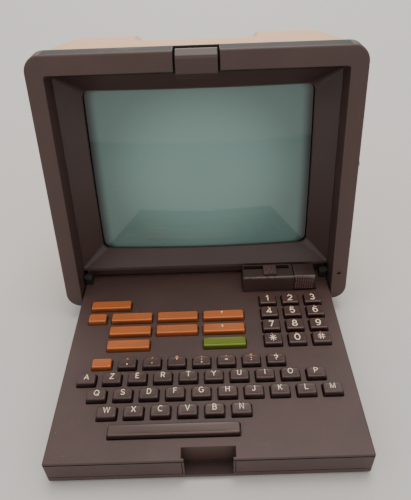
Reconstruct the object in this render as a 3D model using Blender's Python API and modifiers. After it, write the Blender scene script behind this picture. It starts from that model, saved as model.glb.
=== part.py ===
"""Computer terminal: a small picture tube behind a leaning brown frame, a pale rear housing,
and a keyboard that folds up into the frame. Metres, +Z up, the keyboard towards -Y, standing
on z = 0. Most pieces are measured from the foot line, where the frame's face meets the table."""

import math

import bmesh
import bpy
from mathutils import Matrix, Vector

for old in list(bpy.data.objects):
    bpy.data.objects.remove(old, do_unlink=True)

# Shared sizes
face_lean = math.radians(11.3)
body_depth = 0.252
wall = 0.0025
seat_gap = 0.0003
overrun = 0.002
round_sides = 24

# Front frame: x across, y behind the face, z up along the face
frame_width = 0.2515
frame_height = 0.2292
frame_foot = 0.014
frame_skirt = 0.0156
collar_depth = 0.0215
frame_top_radius = 0.0125
frame_crown_fall = 0.0012
frame_foot_radius = 0.012
frame_edge_round = 0.0015
frame_face_wall = 0.0032
frame_rim = 0.01375
frame_top_rim = 0.0141
opening_width = frame_width - 2 * frame_rim
opening_top = frame_height - frame_top_rim
opening_drop = 0.0046
opening_radius = 0.0022
boss_reach = 0.0055
boss_low = 0.022
boss_high = 0.046
gusset = 0.003

# Keyboard hinge
hinge_y = 0.0245
hinge_z = 0.029
pin_radius = 0.002
pin_gap = 0.0003
pin_out = 0.0052
ear_radius = 0.004
ear_width = 0.0063

# Keyboard case
keyboard_reach = 0.1536
keyboard_tail = 0.0329
keyboard_side_gap = 0.0011
keyboard_width = opening_width - 2 * keyboard_side_gap
deck_top = 0.0237
deck_wall = 0.002
seam_height = 0.0072
case_underside = 0.0015
case_floor = 0.002
case_round = 0.0012
tail_chamfer = 0.004
pad_radius = 0.006
pad_inset = 0.016
notch_width = 0.0368
notch_depth = 0.0097
notch_mouth = 0.0332
notch_floor = 0.005
board_underside = 0.014
board_wall = 0.0016
board_margin = 0.006
board_post = 0.003

# Keys: places of their tops on the deck, measured from the foot line
key_height = 0.0036
key_travel = 0.0025
key_clearance = 0.0004
key_flare = 0.0008
key_front_slope = 0.0008
key_flange = 0.0005
key_edge = 0.0005
flange_height = 0.0018
stem_size = 0.004
key_margin = 0.0144
key_gap = 0.0057
row_keys = 10
key_pitch = (keyboard_width - 2 * key_margin) / row_keys
letter_key = (key_pitch - key_gap, 0.0086)
row_bar = 0.004


def across(pitches):
    """A place on the deck, so many letter keys from its left edge."""
    return pitches * key_pitch - keyboard_width / 2


# Where each key or row starts across the deck, in letter keys from its left edge
symbol_share, upper_share, middle_share, lower_share = 2.5337, 1.0104, 1.5181, 2.0052
space_share, square_share, short_share, single_share = 4.5233, 1.5026, 0.9585, 1.4715
long_share, pad_share = 2.4767, 8.5492
long_pitch_share, pad_pitch_share, space_length_share = 2.0104, 1.0104, 5.0
symbol_row = (across(symbol_share), -0.0734)
upper_row = (across(upper_share), -0.0874)
middle_row = (across(middle_share), -0.1018)
lower_row = (across(lower_share), -0.1166)
space_gap = 0.0053
space_key = (space_length_share * key_pitch - space_gap, 0.0082)
space_place = (across(space_share), -0.1313)
square_gap = 0.0045
square_key = (key_pitch - square_gap, 0.0078)
square_place = (across(square_share), -0.0728)
short_gap = 0.0047
short_key = (key_pitch - short_gap, 0.0082)
short_place = (across(short_share), -0.0246)
long_gap = 0.0050
long_pitch = (long_pitch_share * key_pitch, 0.0150)
long_key = (long_pitch[0] - long_gap, 0.0082)
single_place = (across(single_share), -0.0096)
long_first = (across(long_share), -0.0246)
pad_gap = 0.0051
pad_pitch = (pad_pitch_share * key_pitch, 0.0150)
pad_key = (pad_pitch[0] - pad_gap, 0.0114)
pad_first = (across(pad_share), -0.0076)

# Switch block at the deck's right rear
block_inset = 0.0123
block_width = 0.0651
block_right = keyboard_width / 2 - block_inset
block_left = block_right - block_width
block_front = 0.0050
block_foot = 0.0030
block_shelf = 0.0220
tower_width = 0.0446
tower_right = block_left + tower_width
tower_back = 0.0224
tower_top = 0.0398
tower_chamfer = 0.0015
cheek_wall = 0.0017
cheek_top = 0.0315
block_clearance = 0.0007
cutout_front = 0.0030
slot_left_wall = 0.0010
slot_right_wall = 0.0031
slot_left = block_left + slot_left_wall
slot_right = tower_right - slot_right_wall
slot_front = 0.0189
slot_back = 0.0214
slot_depth = 0.0080
slider_size = (0.0118, 0.0124, 0.0019)
slider_run = 0.0239
slider_place = (block_left + slider_run, 0.0134)
slider_stem = 0.0045
rocker_front = 0.0052
rocker_back = 0.0212
rocker_foot = 0.0245
rocker_top = 0.0402
rocker_round = 0.0009
rocker_axis = (0.0131, 0.0285)
trunnion_radius = 0.0010
trunnion_length = 0.0012

# Latch at the middle of the frame's top edge
latch_width = 0.0316
latch_slot = 0.034
latch_drop = 0.0200
latch_foot = frame_height - latch_drop
latch_chin = 0.0040
latch_brow_drop = 0.0054
latch_brow = frame_height - latch_brow_drop
latch_brow_rise = (0.0012, 0.0023)
latch_crown_proud = 0.0004
latch_crown = frame_height + latch_crown_proud
latch_crown_run = 0.0080
latch_proud = 0.0015
latch_back = 0.0107
latch_slot_depth = 0.014
latch_bore = 0.004
latch_bore_floor = 0.0045
spring_radius = 0.003
spring_wire = 0.0004
spring_turns = 4
spring_turn_points = 8
spring_front = 0.0084

# Small pieces on the frame
wheel_height = 0.1385
wheel_depth = 0.0065
wheel_radius = 0.0054
wheel_width = 0.0030
wheel_proud = 0.0018
wheel_shaft = 0.0008
lamp_inset = 0.00775
lamp_place = (frame_width / 2 - lamp_inset, 0.0402)
lamp_radius = 0.0012
lamp_length = 0.003

# Screen mask and picture tube, in the frame's own directions
mask_depth = 0.0218
mask_foot = 0.0385
mask_margin = 0.0023
mask_wall = 0.0018
mask_run = 0.0179
screen_width = opening_width - 2 * mask_run
screen_foot = 0.0547
mask_head_run = 0.0184
screen_head = opening_top - mask_head_run
screen_radius = 0.005
shelf_depth = 0.031
shelf_wall = 0.0018
glass_depth = 0.0313
glass_curve = 0.9
glass_gap = 0.0005
glass_squareness = 10
glass_lap = (0.0063, 0.0051)
glass_half = (screen_width / 2 + glass_lap[0], (screen_head - screen_foot) / 2 + glass_lap[1])
tube_clearance = 0.066
tube_length = body_depth - tube_clearance
neck_radius = 0.0103
yoke_share = 0.5300
yoke_depth = glass_depth + yoke_share * tube_length
yoke_length = 0.036
yoke_bell = 0.0275
yoke_rim = 0.040
yoke_core = 0.030
yoke_bore = 0.0110
neck_board_size = 0.044

# Rear housing, from the foot line
housing_inset = 0.004
housing_gap = 0.0006
housing_foot = 0.0203
housing_drop = 0.0070
housing_crown = frame_height - housing_drop
housing_corner = 0.023
housing_round = 0.004
# Sections of the housing from its front edge to its rear wall, each in shares: place of the depth,
# how upright, half width, top, depth of the recess, corner, half width at the foot, rear rounding
housing_shares = (
    (0.3175, 0.2, 0.9856, 0.9928, 0.000, 0.696, 0.9815, 0.00),
    (0.3968, 0.5, 0.9692, 0.9793, 0.333, 0.826, 0.9610, 0.00),
    (0.4722, 0.8, 0.9487, 0.9649, 0.889, 0.957, 0.9363, 0.00),
    (0.5317, 1.0, 0.9199, 0.9406, 0.933, 1.000, 0.9076, 0.00),
    (0.7540, 1.0, 0.8296, 0.8326, 1.000, 0.957, 0.8214, 0.00),
    (0.9365, 1.0, 0.7721, 0.7471, 1.000, 0.870, 0.7680, 0.00),
    (0.9821, 1.0, 0.7606, 0.7268, 1.000, 0.783, 0.7589, 0.15),
    (1.0000, 1.0, 0.7556, 0.7201, 1.000, 0.652, 0.7540, 1.00),
)
front_corner_share = 0.609
recess_width = 0.098
recess_slope = 0.003
recess_depth = 0.0045
vent_width = 0.0030
vent_pitch = 0.0072
vent_edge = 0.005
vent_inner = recess_width / 2 + vent_edge
vent_outer = 0.02855
vent_count = round((frame_width / 2 - vent_outer - vent_inner) / vent_pitch)
vent_rear = 0.068
vent_length = 0.048
vent_back = body_depth - vent_rear
vent_front = vent_back - vent_length

# Base tray, feet and the parts inside
tray_front = 0.035
tray_rear_gap = 0.0035
tray_back = body_depth - tray_rear_gap
tray_underside = 0.008
tray_rim = 0.020
tray_front_inset = 0.00625
tray_back_inset = 0.03475
tray_front_width = frame_width - 2 * tray_front_inset
tray_back_width = frame_width - 2 * tray_back_inset
sill_top = 0.0315
sill_gap = 0.001
sill_width = opening_width - 2 * sill_gap
foot_radius = 0.009
foot_chamfer = 0.001
foot_front_inset = (0.0245, 0.020)
foot_rear_inset = (0.016, 0.0205)
foot_front = (tray_front_width / 2 - foot_front_inset[0], tray_front + foot_front_inset[1])
foot_rear = (tray_back_width / 2 - foot_rear_inset[0], tray_back - foot_rear_inset[1])
main_board_front = 0.060
main_board_inset = (0.0295, 0.024)
main_board_size = (tray_front_width - 2 * main_board_inset[0],
                   body_depth - main_board_inset[1] - main_board_front)
main_board_underside = 0.024
transformer_core = (0.050, 0.042, 0.044)
transformer_coil = (0.034, 0.054, 0.026)
transformer_inset = (0.032, 0.062)
transformer_place = (transformer_inset[0] - main_board_size[0] / 2, body_depth - transformer_inset[1])
flyback_radius = 0.016
flyback_height = 0.046
flyback_inset = (0.024, 0.090)
flyback_place = (main_board_size[0] / 2 - flyback_inset[0], main_board_front + flyback_inset[1])
speaker_radius = 0.024
speaker_height = 0.010
speaker_inset = (0.032, 0.044)
speaker_place = (speaker_inset[0] - main_board_size[0] / 2, main_board_front + speaker_inset[1])
ribbon_width = 0.020
ribbon_wall = 0.0008
ribbon_inset = 0.010
ribbon_place = ribbon_inset - main_board_size[0] / 2
lead_radius = 0.0018
lead_bow = 0.006

# Things in the rear wall
socket_place = (0.040, 0.046)
socket_flange = 0.0095
socket_barrel = 0.0075
flange_wall = 0.001
barrel_length = 0.012
mains_place = (-0.060, 0.040)
mains_flange = 0.0085
mains_barrel = 0.0065
mains_bore = 0.0033
line_place = (-0.034, 0.040)
line_flange = 0.0055
line_barrel = 0.0040
line_bore = 0.0019

# The model stands with its box's bottom centre at the origin
stand_x = -wheel_proud / 2
stand_y = -(body_depth + seat_gap + flange_wall - keyboard_reach) / 2

colour_steps = 255


def collection(name):
    made = bpy.data.collections.new(name)
    bpy.context.scene.collection.children.link(made)
    return made


parts = collection("computer_terminal")
cutters = collection("cutters")


def datum(name, place, parent=None, tilt=0.0):
    """An empty that carries pieces: the stand, the leaning face, or a joint's axis."""
    empty = bpy.data.objects.new(name, None)
    empty.location = place
    empty.rotation_euler = (tilt, 0.0, 0.0)
    empty.parent = parent
    parts.objects.link(empty)
    return empty


stand = datum("stand", (stand_x, stand_y, 0.0))
face = datum("face_datum", (0.0, 0.0, 0.0), stand, -face_lean)
keyboard_axis = datum("keyboard_axis", (0.0, hinge_y, hinge_z), stand)
rocker_centre = datum("rocker_axis", (0.0, rocker_axis[0], rocker_axis[1]), stand)
wheel_x = frame_width / 2 + wheel_proud - wheel_radius
wheel_axis = datum("wheel_axis", (wheel_x, wheel_depth, wheel_height), face)


def finish(name, colour, roughness, metallic=0.0, alpha=1.0):
    """A Principled material from a colour in photograph steps."""
    made = bpy.data.materials.get(name)
    if made:
        return made
    made = bpy.data.materials.new(name)
    made.use_nodes = True
    shader = made.node_tree.nodes["Principled BSDF"]
    linear = [(step / colour_steps) ** 2.2 for step in colour]
    shader.inputs["Base Color"].default_value = (*linear, 1.0)
    shader.inputs["Roughness"].default_value = roughness
    shader.inputs["Metallic"].default_value = metallic
    shader.inputs["Alpha"].default_value = alpha
    return made


def brown():
    return finish("brown_plastic", (88, 70, 66), 0.55)


def dark_brown():
    return finish("dark_brown_plastic", (62, 49, 47), 0.5)


def beige():
    return finish("beige_plastic", (218, 200, 180), 0.6)


def orange():
    return finish("orange_plastic", (172, 100, 58), 0.5)


def green():
    return finish("green_plastic", (110, 130, 44), 0.5)


def black():
    return finish("black_plastic", (30, 26, 26), 0.5)


def glass():
    return finish("tube_glass", (98, 120, 114), 0.08)


def rubber():
    return finish("foot_rubber", (28, 27, 27), 0.9)


def steel():
    return finish("steel", (176, 178, 180), 0.3, 1.0)


def circuit():
    return finish("circuit_board", (60, 92, 60), 0.6)


def copper():
    return finish("copper_winding", (170, 96, 58), 0.4, 1.0)


def ferrite():
    return finish("ferrite", (58, 58, 60), 0.6)


def lens():
    return finish("lamp_lens", (120, 30, 26), 0.2)


def attach(thing, carrier):
    """The mesh is in the carrier's parent's coordinates, or in the carrier's own for the two datums
    at a frame's origin, so the object steps back by the carrier's place."""
    thing.parent = carrier
    if carrier not in (stand, face):
        thing.location = -carrier.location


def piece(name, bm, material, carrier=stand, smooth=False):
    if not any(edge.is_boundary for edge in bm.edges):
        bmesh.ops.recalc_face_normals(bm, faces=bm.faces)
    mesh = bpy.data.meshes.new(name)
    bm.to_mesh(mesh)
    bm.free()
    made = bpy.data.objects.new(name, mesh)
    mesh.materials.append(material)
    parts.objects.link(made)
    attach(made, carrier)
    if smooth:
        mesh.shade_smooth()
        mesh.set_sharp_from_angle(angle=math.radians(40))
    return made


def cutter(name, bm, carrier=stand):
    made = piece(name, bm, black(), carrier)
    parts.objects.unlink(made)
    cutters.objects.link(made)
    made.hide_render = True
    made.display_type = "WIRE"
    return made


def combine(target, tool, operation="DIFFERENCE"):
    made = target.modifiers.new(tool.name, "BOOLEAN")
    made.operation = operation
    made.solver = "EXACT"
    made.object = tool


def cut(target, bm, name, carrier=stand):
    combine(target, cutter(f"{target.name}_{name}", bm, carrier))


def weld(target, bm, name, carrier=stand):
    combine(target, cutter(f"{target.name}_{name}", bm, carrier), "UNION")


def add_box(bm, low, high):
    low, high = Vector(low), Vector(high)
    matrix = Matrix.Translation((low + high) / 2) @ Matrix.Diagonal((*(high - low), 1.0))
    return bmesh.ops.create_cube(bm, size=1, matrix=matrix)["verts"]


def box(low, high):
    bm = bmesh.new()
    add_box(bm, low, high)
    return bm


def turn_to(axis):
    """The rotation that lays a shape made along Z along X or Y instead."""
    if axis == "X":
        return Matrix.Rotation(math.pi / 2, 4, "Y")
    if axis == "Y":
        return Matrix.Rotation(-math.pi / 2, 4, "X")
    return Matrix.Identity(4)


def add_cylinder(bm, centre, radius, length, axis, end_radius=None):
    matrix = Matrix.Translation(centre) @ turn_to(axis)
    return bmesh.ops.create_cone(
        bm, cap_ends=True, segments=round_sides, radius1=radius,
        radius2=radius if end_radius is None else end_radius, depth=length, matrix=matrix)["verts"]


def cylinder(centre, radius, length, axis, end_radius=None):
    bm = bmesh.new()
    add_cylinder(bm, centre, radius, length, axis, end_radius)
    return bm


def bevel_edges(bm, wanted, width, segments):
    edges = [edge for edge in bm.edges if wanted(*(vert.co for vert in edge.verts))]
    bmesh.ops.bevel(bm, geom=edges, offset=width, segments=segments, profile=0.5, affect="EDGES")


def near(first, second):
    return abs(first - second) < seat_gap / 3


def add_stack(bm, x, levels):
    """Rectangles stacked up: a cube whose top face is extruded to each further level. A level is
    its height, its size across and along, and where its middle is along."""
    low, high = levels[:2]
    verts = add_box(bm, (x - low[1], low[3] - low[2], low[0]), (x + low[1], low[3] + low[2], high[0]))
    place_ring([vert for vert in verts if near(vert.co.z, low[0])], x, low, low[3])
    top = [vert for vert in verts if near(vert.co.z, high[0])]
    place_ring(top, x, high, low[3])
    middle = high[3]
    for level in levels[2:]:
        roof = [item for item in bm.faces if set(item.verts) == set(top)]
        grown = bmesh.ops.extrude_face_region(bm, geom=roof)["geom"]
        bmesh.ops.delete(bm, geom=roof, context="FACES_ONLY")
        top = [item for item in grown if isinstance(item, bmesh.types.BMVert)]
        place_ring(top, x, level, middle)
        middle = level[3]
    return top


def place_ring(verts, x, level, middle):
    z, size_x, size_y, y = level
    for vert in verts:
        back = vert.co.y > middle
        vert.co = (x + math.copysign(size_x / 2, vert.co.x - x), y + (size_y if back else -size_y) / 2, z)


def loft(loops, closed=True, first_cap=True, last_cap=True):
    """Faces between loops of equal length, for shapes whose sections differ."""
    bm = bmesh.new()
    rings = [[bm.verts.new(point) for point in loop] for loop in loops]
    count = len(rings[0])
    steps = count if closed else count - 1
    for near_ring, far_ring in zip(rings, rings[1:]):
        for index in range(steps):
            after = (index + 1) % count
            bm.faces.new((near_ring[index], near_ring[after], far_ring[after], far_ring[index]))
    if first_cap:
        bm.faces.new(rings[0][::-1])
    if last_cap:
        bm.faces.new(rings[-1])
    return bm


def shell(target, thickness, offset=-1.0):
    made = target.modifiers.new("wall", "SOLIDIFY")
    made.thickness = thickness
    made.offset = offset
    made.use_even_offset = True


def prism_x(outline, left, right):
    """An outline in y and z, drawn as a flat curve and extruded across from left to right."""
    curve = bpy.data.curves.new("outline", "CURVE")
    curve.dimensions = "2D"
    curve.fill_mode = "BOTH"
    curve.extrude = (right - left) / 2
    spline = curve.splines.new("POLY")
    spline.points.add(len(outline) - 1)
    for point, (y, z) in zip(spline.points, outline):
        point.co = (y, z, 0.0, 1.0)
    spline.use_cyclic_u = True
    holder = bpy.data.objects.new("outline", curve)
    bpy.context.scene.collection.objects.link(holder)
    evaluated = holder.evaluated_get(bpy.context.evaluated_depsgraph_get())
    mesh = bpy.data.meshes.new_from_object(evaluated)
    bm = bmesh.new()
    bm.from_mesh(mesh)
    bpy.data.objects.remove(holder, do_unlink=True)
    bpy.data.meshes.remove(mesh)
    bmesh.ops.remove_doubles(bm, verts=bm.verts, dist=seat_gap / 10)
    across = Matrix(((0, 0, 1, (left + right) / 2), (1, 0, 0, 0), (0, 1, 0, 0), (0, 0, 0, 1)))
    bmesh.ops.transform(bm, matrix=across, verts=bm.verts)
    return bm


def tube(name, points, radius, material, carrier=stand):
    """A wire or lead along a list of points, made a mesh with its caps welded."""
    curve = bpy.data.curves.new(name, "CURVE")
    curve.dimensions = "3D"
    curve.bevel_depth = radius
    curve.bevel_resolution = 1
    curve.use_fill_caps = True
    spline = curve.splines.new("POLY")
    spline.points.add(len(points) - 1)
    for point, place in zip(spline.points, points):
        point.co = (*place, 1.0)
    holder = bpy.data.objects.new(name, curve)
    bpy.context.scene.collection.objects.link(holder)
    evaluated = holder.evaluated_get(bpy.context.evaluated_depsgraph_get())
    mesh = bpy.data.meshes.new_from_object(evaluated)
    bm = bmesh.new()
    bm.from_mesh(mesh)
    bpy.data.objects.remove(holder, do_unlink=True)
    bpy.data.meshes.remove(mesh)
    bmesh.ops.remove_doubles(bm, verts=bm.verts, dist=seat_gap / 10)
    return piece(name, bm, material, carrier, smooth=True)


# Places on the leaning face, from the foot line

def face_to_stand(depth, height):
    """A point behind the face, as y and z from the foot line."""
    y = height * math.sin(face_lean) + depth * math.cos(face_lean)
    z = height * math.cos(face_lean) - depth * math.sin(face_lean)
    return y, z


def stand_to_face(y, z):
    depth = y * math.cos(face_lean) - z * math.sin(face_lean)
    height = y * math.sin(face_lean) + z * math.cos(face_lean)
    return depth, height


half_frame = frame_width / 2
half_opening = opening_width / 2
half_keyboard = keyboard_width / 2
pin_depth, pin_height = stand_to_face(hinge_y, hinge_z)


def front_frame():
    """The brown frame: a skirted block, hollow from behind, with an inner collar and two cheeks."""
    bm = box((-half_frame, 0, frame_foot), (half_frame, frame_skirt, frame_height))
    rise = frame_skirt * math.tan(face_lean) - frame_crown_fall
    for vert in bm.verts:
        if vert.co.y > 0 and near(vert.co.z, frame_height):
            vert.co.z += rise
    bevel_edges(bm, lambda a, b: near(a.x, b.x) and min(a.z, b.z) > opening_top
                and not near(a.y, b.y), frame_top_radius, 5)
    bevel_edges(bm, lambda a, b: near(a.x, b.x) and max(a.z, b.z) < boss_low
                and not near(a.y, b.y), frame_foot_radius, 4)
    bevel_edges(bm, lambda a, b: near(a.y, 0) and near(b.y, 0), frame_edge_round, 3)
    frame = piece("front_frame", bm, brown())
    attach(frame, face)

    reach = half_opening + wall
    bm = box((-reach, wall, frame_foot + frame_foot_radius), (reach, collar_depth, opening_top + wall))
    weld(frame, bm, "collar", face)
    reach = half_opening + boss_reach
    weld(frame, box((-reach, wall, boss_low), (reach, collar_depth, boss_high)), "boss", face)

    bm = bmesh.new()
    rear = frame_skirt + overrun
    outer = half_frame - wall
    inner = half_opening + wall
    side_top = opening_top - gusset
    for side in (-1, 1):
        xs = sorted((side * inner, side * outer))
        add_box(bm, (xs[0], frame_face_wall, boss_high + gusset), (xs[1], rear, side_top))
        xs = sorted((side * (latch_slot / 2 + gusset), side * (half_frame - frame_top_radius)))
        add_box(bm, (xs[0], frame_face_wall, opening_top + wall + seat_gap),
                (xs[1], rear, frame_height - wall))
    cut(frame, bm, "pockets", face)

    bm = box((-half_opening, -overrun, frame_foot - overrun),
             (half_opening, collar_depth + overrun, opening_top))
    for vert in bm.verts:
        if vert.co.y > 0 and vert.co.z > boss_high:
            vert.co.z -= opening_drop * (collar_depth + overrun) / collar_depth
    bevel_edges(bm, lambda a, b: near(a.x, b.x) and min(a.z, b.z) > boss_high
                and not near(a.y, b.y), opening_radius, 2)
    cut(frame, bm, "opening", face)

    cut(frame, box((-latch_slot / 2, -overrun, latch_foot - overrun),
                   (latch_slot / 2, latch_slot_depth, latch_crown + frame_skirt)), "latch_slot", face)

    bm = bmesh.new()
    for side in (-1, 1):
        centre = (side * (half_opening + pin_out / 2), pin_depth, pin_height)
        add_cylinder(bm, centre, pin_radius + pin_gap, pin_out + wall, "X")
    cut(frame, bm, "pin_holes", face)

    slot_half = wheel_radius + seat_gap
    slot_width = wheel_width + 2 * seat_gap
    bm = box((half_frame - wall - overrun, wheel_depth - slot_width / 2, wheel_height - slot_half),
             (half_frame + overrun, wheel_depth + slot_width / 2, wheel_height + slot_half))
    cut(frame, bm, "wheel_slot", face)
    cut(frame, cylinder((lamp_place[0], 0, lamp_place[1]), lamp_radius + seat_gap,
                        2 * (lamp_length + 2 * seat_gap), "Y"),
        "lamp_hole", face)


def latch():
    """The push catch: a block with a sloping crown, sprung from behind."""
    front = -latch_proud
    outline = [
        (front, latch_foot + latch_chin),
        (front, latch_brow),
        (front + latch_brow_rise[0], latch_brow + latch_brow_rise[1]),
        (front + latch_crown_run, latch_crown),
        (latch_back, latch_crown),
        (latch_back, latch_foot),
        (front + latch_chin, latch_foot),
    ]
    made = piece("latch", prism_x(outline, -latch_width / 2, latch_width / 2), brown(), face)
    middle = (latch_foot + latch_crown) / 2
    length = latch_back - latch_bore_floor + overrun
    centre = (0, latch_bore_floor + length / 2, middle)
    cut(made, cylinder(centre, latch_bore, length, "Y"), "bore", face)

    far = latch_slot_depth - seat_gap - spring_wire
    steps = spring_turns * spring_turn_points
    points = []
    for step in range(steps + 1):
        angle = 2 * math.pi * step / spring_turn_points
        along = spring_front + (far - spring_front) * step / steps
        points.append((spring_radius * math.cos(angle), along, middle + spring_radius * math.sin(angle)))
    tube("latch_spring", points, spring_wire, steel(), face)


def side_wheel():
    """The small wheel in the frame's right side, with its shaft along the depth."""
    bm = cylinder((wheel_x, wheel_depth, wheel_height), wheel_radius, wheel_width, "Y")
    made = piece("side_wheel", bm, dark_brown(), wheel_axis, smooth=True)
    front = frame_face_wall + seat_gap
    back = wheel_depth + wheel_width
    weld(made, cylinder((wheel_x, (front + back) / 2, wheel_height), wheel_shaft, back - front, "Y"),
         "shaft", wheel_axis)


def power_lamp():
    centre = (lamp_place[0], lamp_length / 2 + seat_gap, lamp_place[1])
    piece("power_lamp", cylinder(centre, lamp_radius, lamp_length, "Y"), lens(), face, smooth=True)


def rounded_rectangle(half_x, low, high, radius, depth_at, straight=8, corner=3):
    """Points round a rectangle with rounded corners, each at the depth that depth_at gives it."""
    points = []
    centres = [(half_x - radius, low + radius), (half_x - radius, high - radius),
               (radius - half_x, high - radius), (radius - half_x, low + radius)]
    corners = []
    for index, (x, z) in enumerate(centres):
        start = math.pi / 2 * (index - 1)
        arc = [start + math.pi / 2 * step / corner for step in range(corner + 1)]
        corners.append([(x + radius * math.cos(angle), z + radius * math.sin(angle)) for angle in arc])
    for arc, following in zip(corners, corners[1:] + corners[:1]):
        points += arc
        (x0, z0), (x1, z1) = arc[-1], following[0]
        for step in range(1, straight):
            share = step / straight
            points.append((x0 + (x1 - x0) * share, z0 + (z1 - z0) * share))
    return [(x, depth_at(x, z), z) for x, z in points]


screen_middle = (screen_foot + screen_head) / 2


def glass_front(x, z):
    """Depth of the tube's curved face behind the frame's face."""
    return glass_depth + (x * x + (z - screen_middle) ** 2) / (2 * glass_curve)


def screen_mask():
    """The dark mask: a thin plate from the frame's collar to the bowed edge of the opening."""
    outer = half_opening + mask_margin
    head = opening_top - opening_drop

    def flat(x, z):
        return mask_depth

    def lip(x, z):
        return glass_front(x, z) - mask_wall - glass_gap

    loops = [
        rounded_rectangle(outer, mask_foot, head + mask_margin, opening_radius, flat),
        rounded_rectangle(half_opening, mask_foot + mask_margin, head, opening_radius, flat),
        rounded_rectangle(screen_width / 2, screen_foot, screen_head, screen_radius, lip),
    ]
    bm = loft(loops, first_cap=False, last_cap=False)
    made = piece("screen_mask", bm, dark_brown(), face)
    shell(made, mask_wall)
    weld(made, box((-half_opening, mask_depth + mask_wall / 3, mask_foot + seat_gap),
                   (half_opening, shelf_depth, mask_foot + seat_gap + shelf_wall)), "shelf", face)


def superellipse(half_x, half_z, depth_at, power, count=32):
    points = []
    for step in range(count):
        angle = 2 * math.pi * step / count
        cosine, sine = math.cos(angle), math.sin(angle)
        reach = (abs(cosine) ** power + abs(sine) ** power) ** (-1 / power)
        x, z = half_x * reach * cosine, screen_middle + half_z * reach * sine
        points.append((x, depth_at(x, z), z))
    return points


# Along the tube's length, its size, and how square its outline is
funnel_shares = (
    (0.130, 1.000, 8.0), (0.205, 0.930, 4.6), (0.357, 0.600, 2.8), (0.483, 0.280, 2.2),
    (0.559, 0.090, 2.0), (0.610, 0.004, 2.0), (1.000, 0.000, 2.0))


def picture_tube():
    """The bulb: a bowed face, a skirt, a funnel and the neck."""
    half_x, half_z = glass_half
    face_shares = (0.3, 0.62, 0.86, 1.0)
    loops = [superellipse(half_x * share, half_z * share, glass_front, glass_squareness)
             for share in face_shares]
    for depth_share, size_share, power in funnel_shares:
        loops.append(superellipse(
            neck_radius + (half_x - neck_radius) * size_share,
            neck_radius + (half_z - neck_radius) * size_share,
            lambda x, z: glass_depth + tube_length * depth_share, power))
    piece("picture_tube", loft(loops), glass(), face, smooth=True)


def deflection_yoke():
    """The coils on the funnel's end: a turned bell, open along the tube."""
    front = yoke_depth
    back = yoke_depth + yoke_length
    middle = front + yoke_length / 3
    profile = [
        (yoke_bell, front), (yoke_rim, front), (yoke_rim, middle), (yoke_core, middle + wall),
        (yoke_core, back), (yoke_bore, back), (yoke_bore, back - yoke_length * 0.4)]
    loops = []
    for radius, depth in profile:
        ring = []
        for step in range(round_sides):
            angle = 2 * math.pi * step / round_sides
            ring.append((radius * math.cos(angle), depth, screen_middle + radius * math.sin(angle)))
        loops.append(ring)
    bm = loft(loops + loops[:1], first_cap=False, last_cap=False)
    bmesh.ops.remove_doubles(bm, verts=bm.verts, dist=seat_gap / 10)
    piece("deflection_yoke", bm, copper(), face, smooth=True)


def neck_board():
    near_side = glass_depth + tube_length + seat_gap
    half = neck_board_size / 2
    piece("neck_board", box((-half, near_side, screen_middle - half),
                            (half, near_side + board_wall, screen_middle + half)), circuit(), face)


def housing_section(place, shares):
    """One section of the rear housing, from its left foot over the top to its right foot. The
    front one leans with the frame, and the lean fades out towards the back."""
    upright, width, height, drop, corner, foot, rounding = shares
    lean = math.tan(face_lean) * (1 - upright)
    reach = frame_width / 2 - housing_inset
    inset = housing_round * rounding
    side = reach * width - inset
    foot_side = reach * foot - inset
    crown = housing_crown * height - inset
    corner_radius = housing_corner * corner
    points = [(-foot_side, housing_foot), (-(foot_side + side) / 2, crown / 2)]
    steps = 4
    for step in range(steps + 1):
        angle = math.pi / 2 * step / steps
        points.append((-side + corner_radius - corner_radius * math.cos(angle),
                       crown - corner_radius + corner_radius * math.sin(angle)))
    half_recess = recess_width / 2
    points.append((-half_recess - recess_slope / 2, crown))
    points.append((-half_recess + recess_slope / 2, crown - recess_depth * drop))
    left = [(x, place + lean * (z - frame_height), z) for x, z in points]
    return left + [(-x, y, z) for x, y, z in reversed(left)]


def rear_housing():
    """The pale housing: sections that narrow towards the back, hollow, open below and in front."""
    front_y = (frame_skirt + housing_gap) / math.cos(face_lean) + frame_height * math.tan(face_lean)
    sections = [housing_section(front_y, (0.0, 1.0, 1.0, 0.0, front_corner_share, 1.0, 0.0))]
    for place, *shares in housing_shares:
        sections.append(housing_section(body_depth * place, shares))
    bm = loft(sections, closed=False, first_cap=False)
    made = piece("rear_housing", bm, beige())
    shell(made, wall)

    bm = bmesh.new()
    for side in (-1, 1):
        for index in range(vent_count):
            x = side * (vent_inner + vent_pitch * index)
            low = housing_foot + main_board_size[1] / 2
            add_box(bm, (x - vent_width / 2, vent_front, low), (x + vent_width / 2, vent_back, frame_height))
    cut(made, bm, "vents")
    bm = bmesh.new()
    for (x, z), barrel in ((socket_place, socket_barrel), (mains_place, mains_barrel),
                           (line_place, line_barrel)):
        add_cylinder(bm, (x, body_depth, z), barrel + seat_gap, 4 * wall, "Y")
    cut(made, bm, "sockets")


def rear_fitting(name, place, flange, barrel, bore, material):
    """A flanged piece in the rear wall, its bore going right through where it has one."""
    x, z = place
    seat = body_depth + seat_gap
    bm = cylinder((x, seat + flange_wall / 2, z), flange, flange_wall, "Y")
    made = piece(name, bm, material, smooth=True)
    middle = seat + flange_wall / 2 - barrel_length / 2
    weld(made, cylinder((x, middle, z), barrel, barrel_length, "Y"), "barrel")
    if bore:
        cut(made, cylinder((x, seat, z), bore, 3 * barrel_length, "Y"), "bore")


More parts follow.
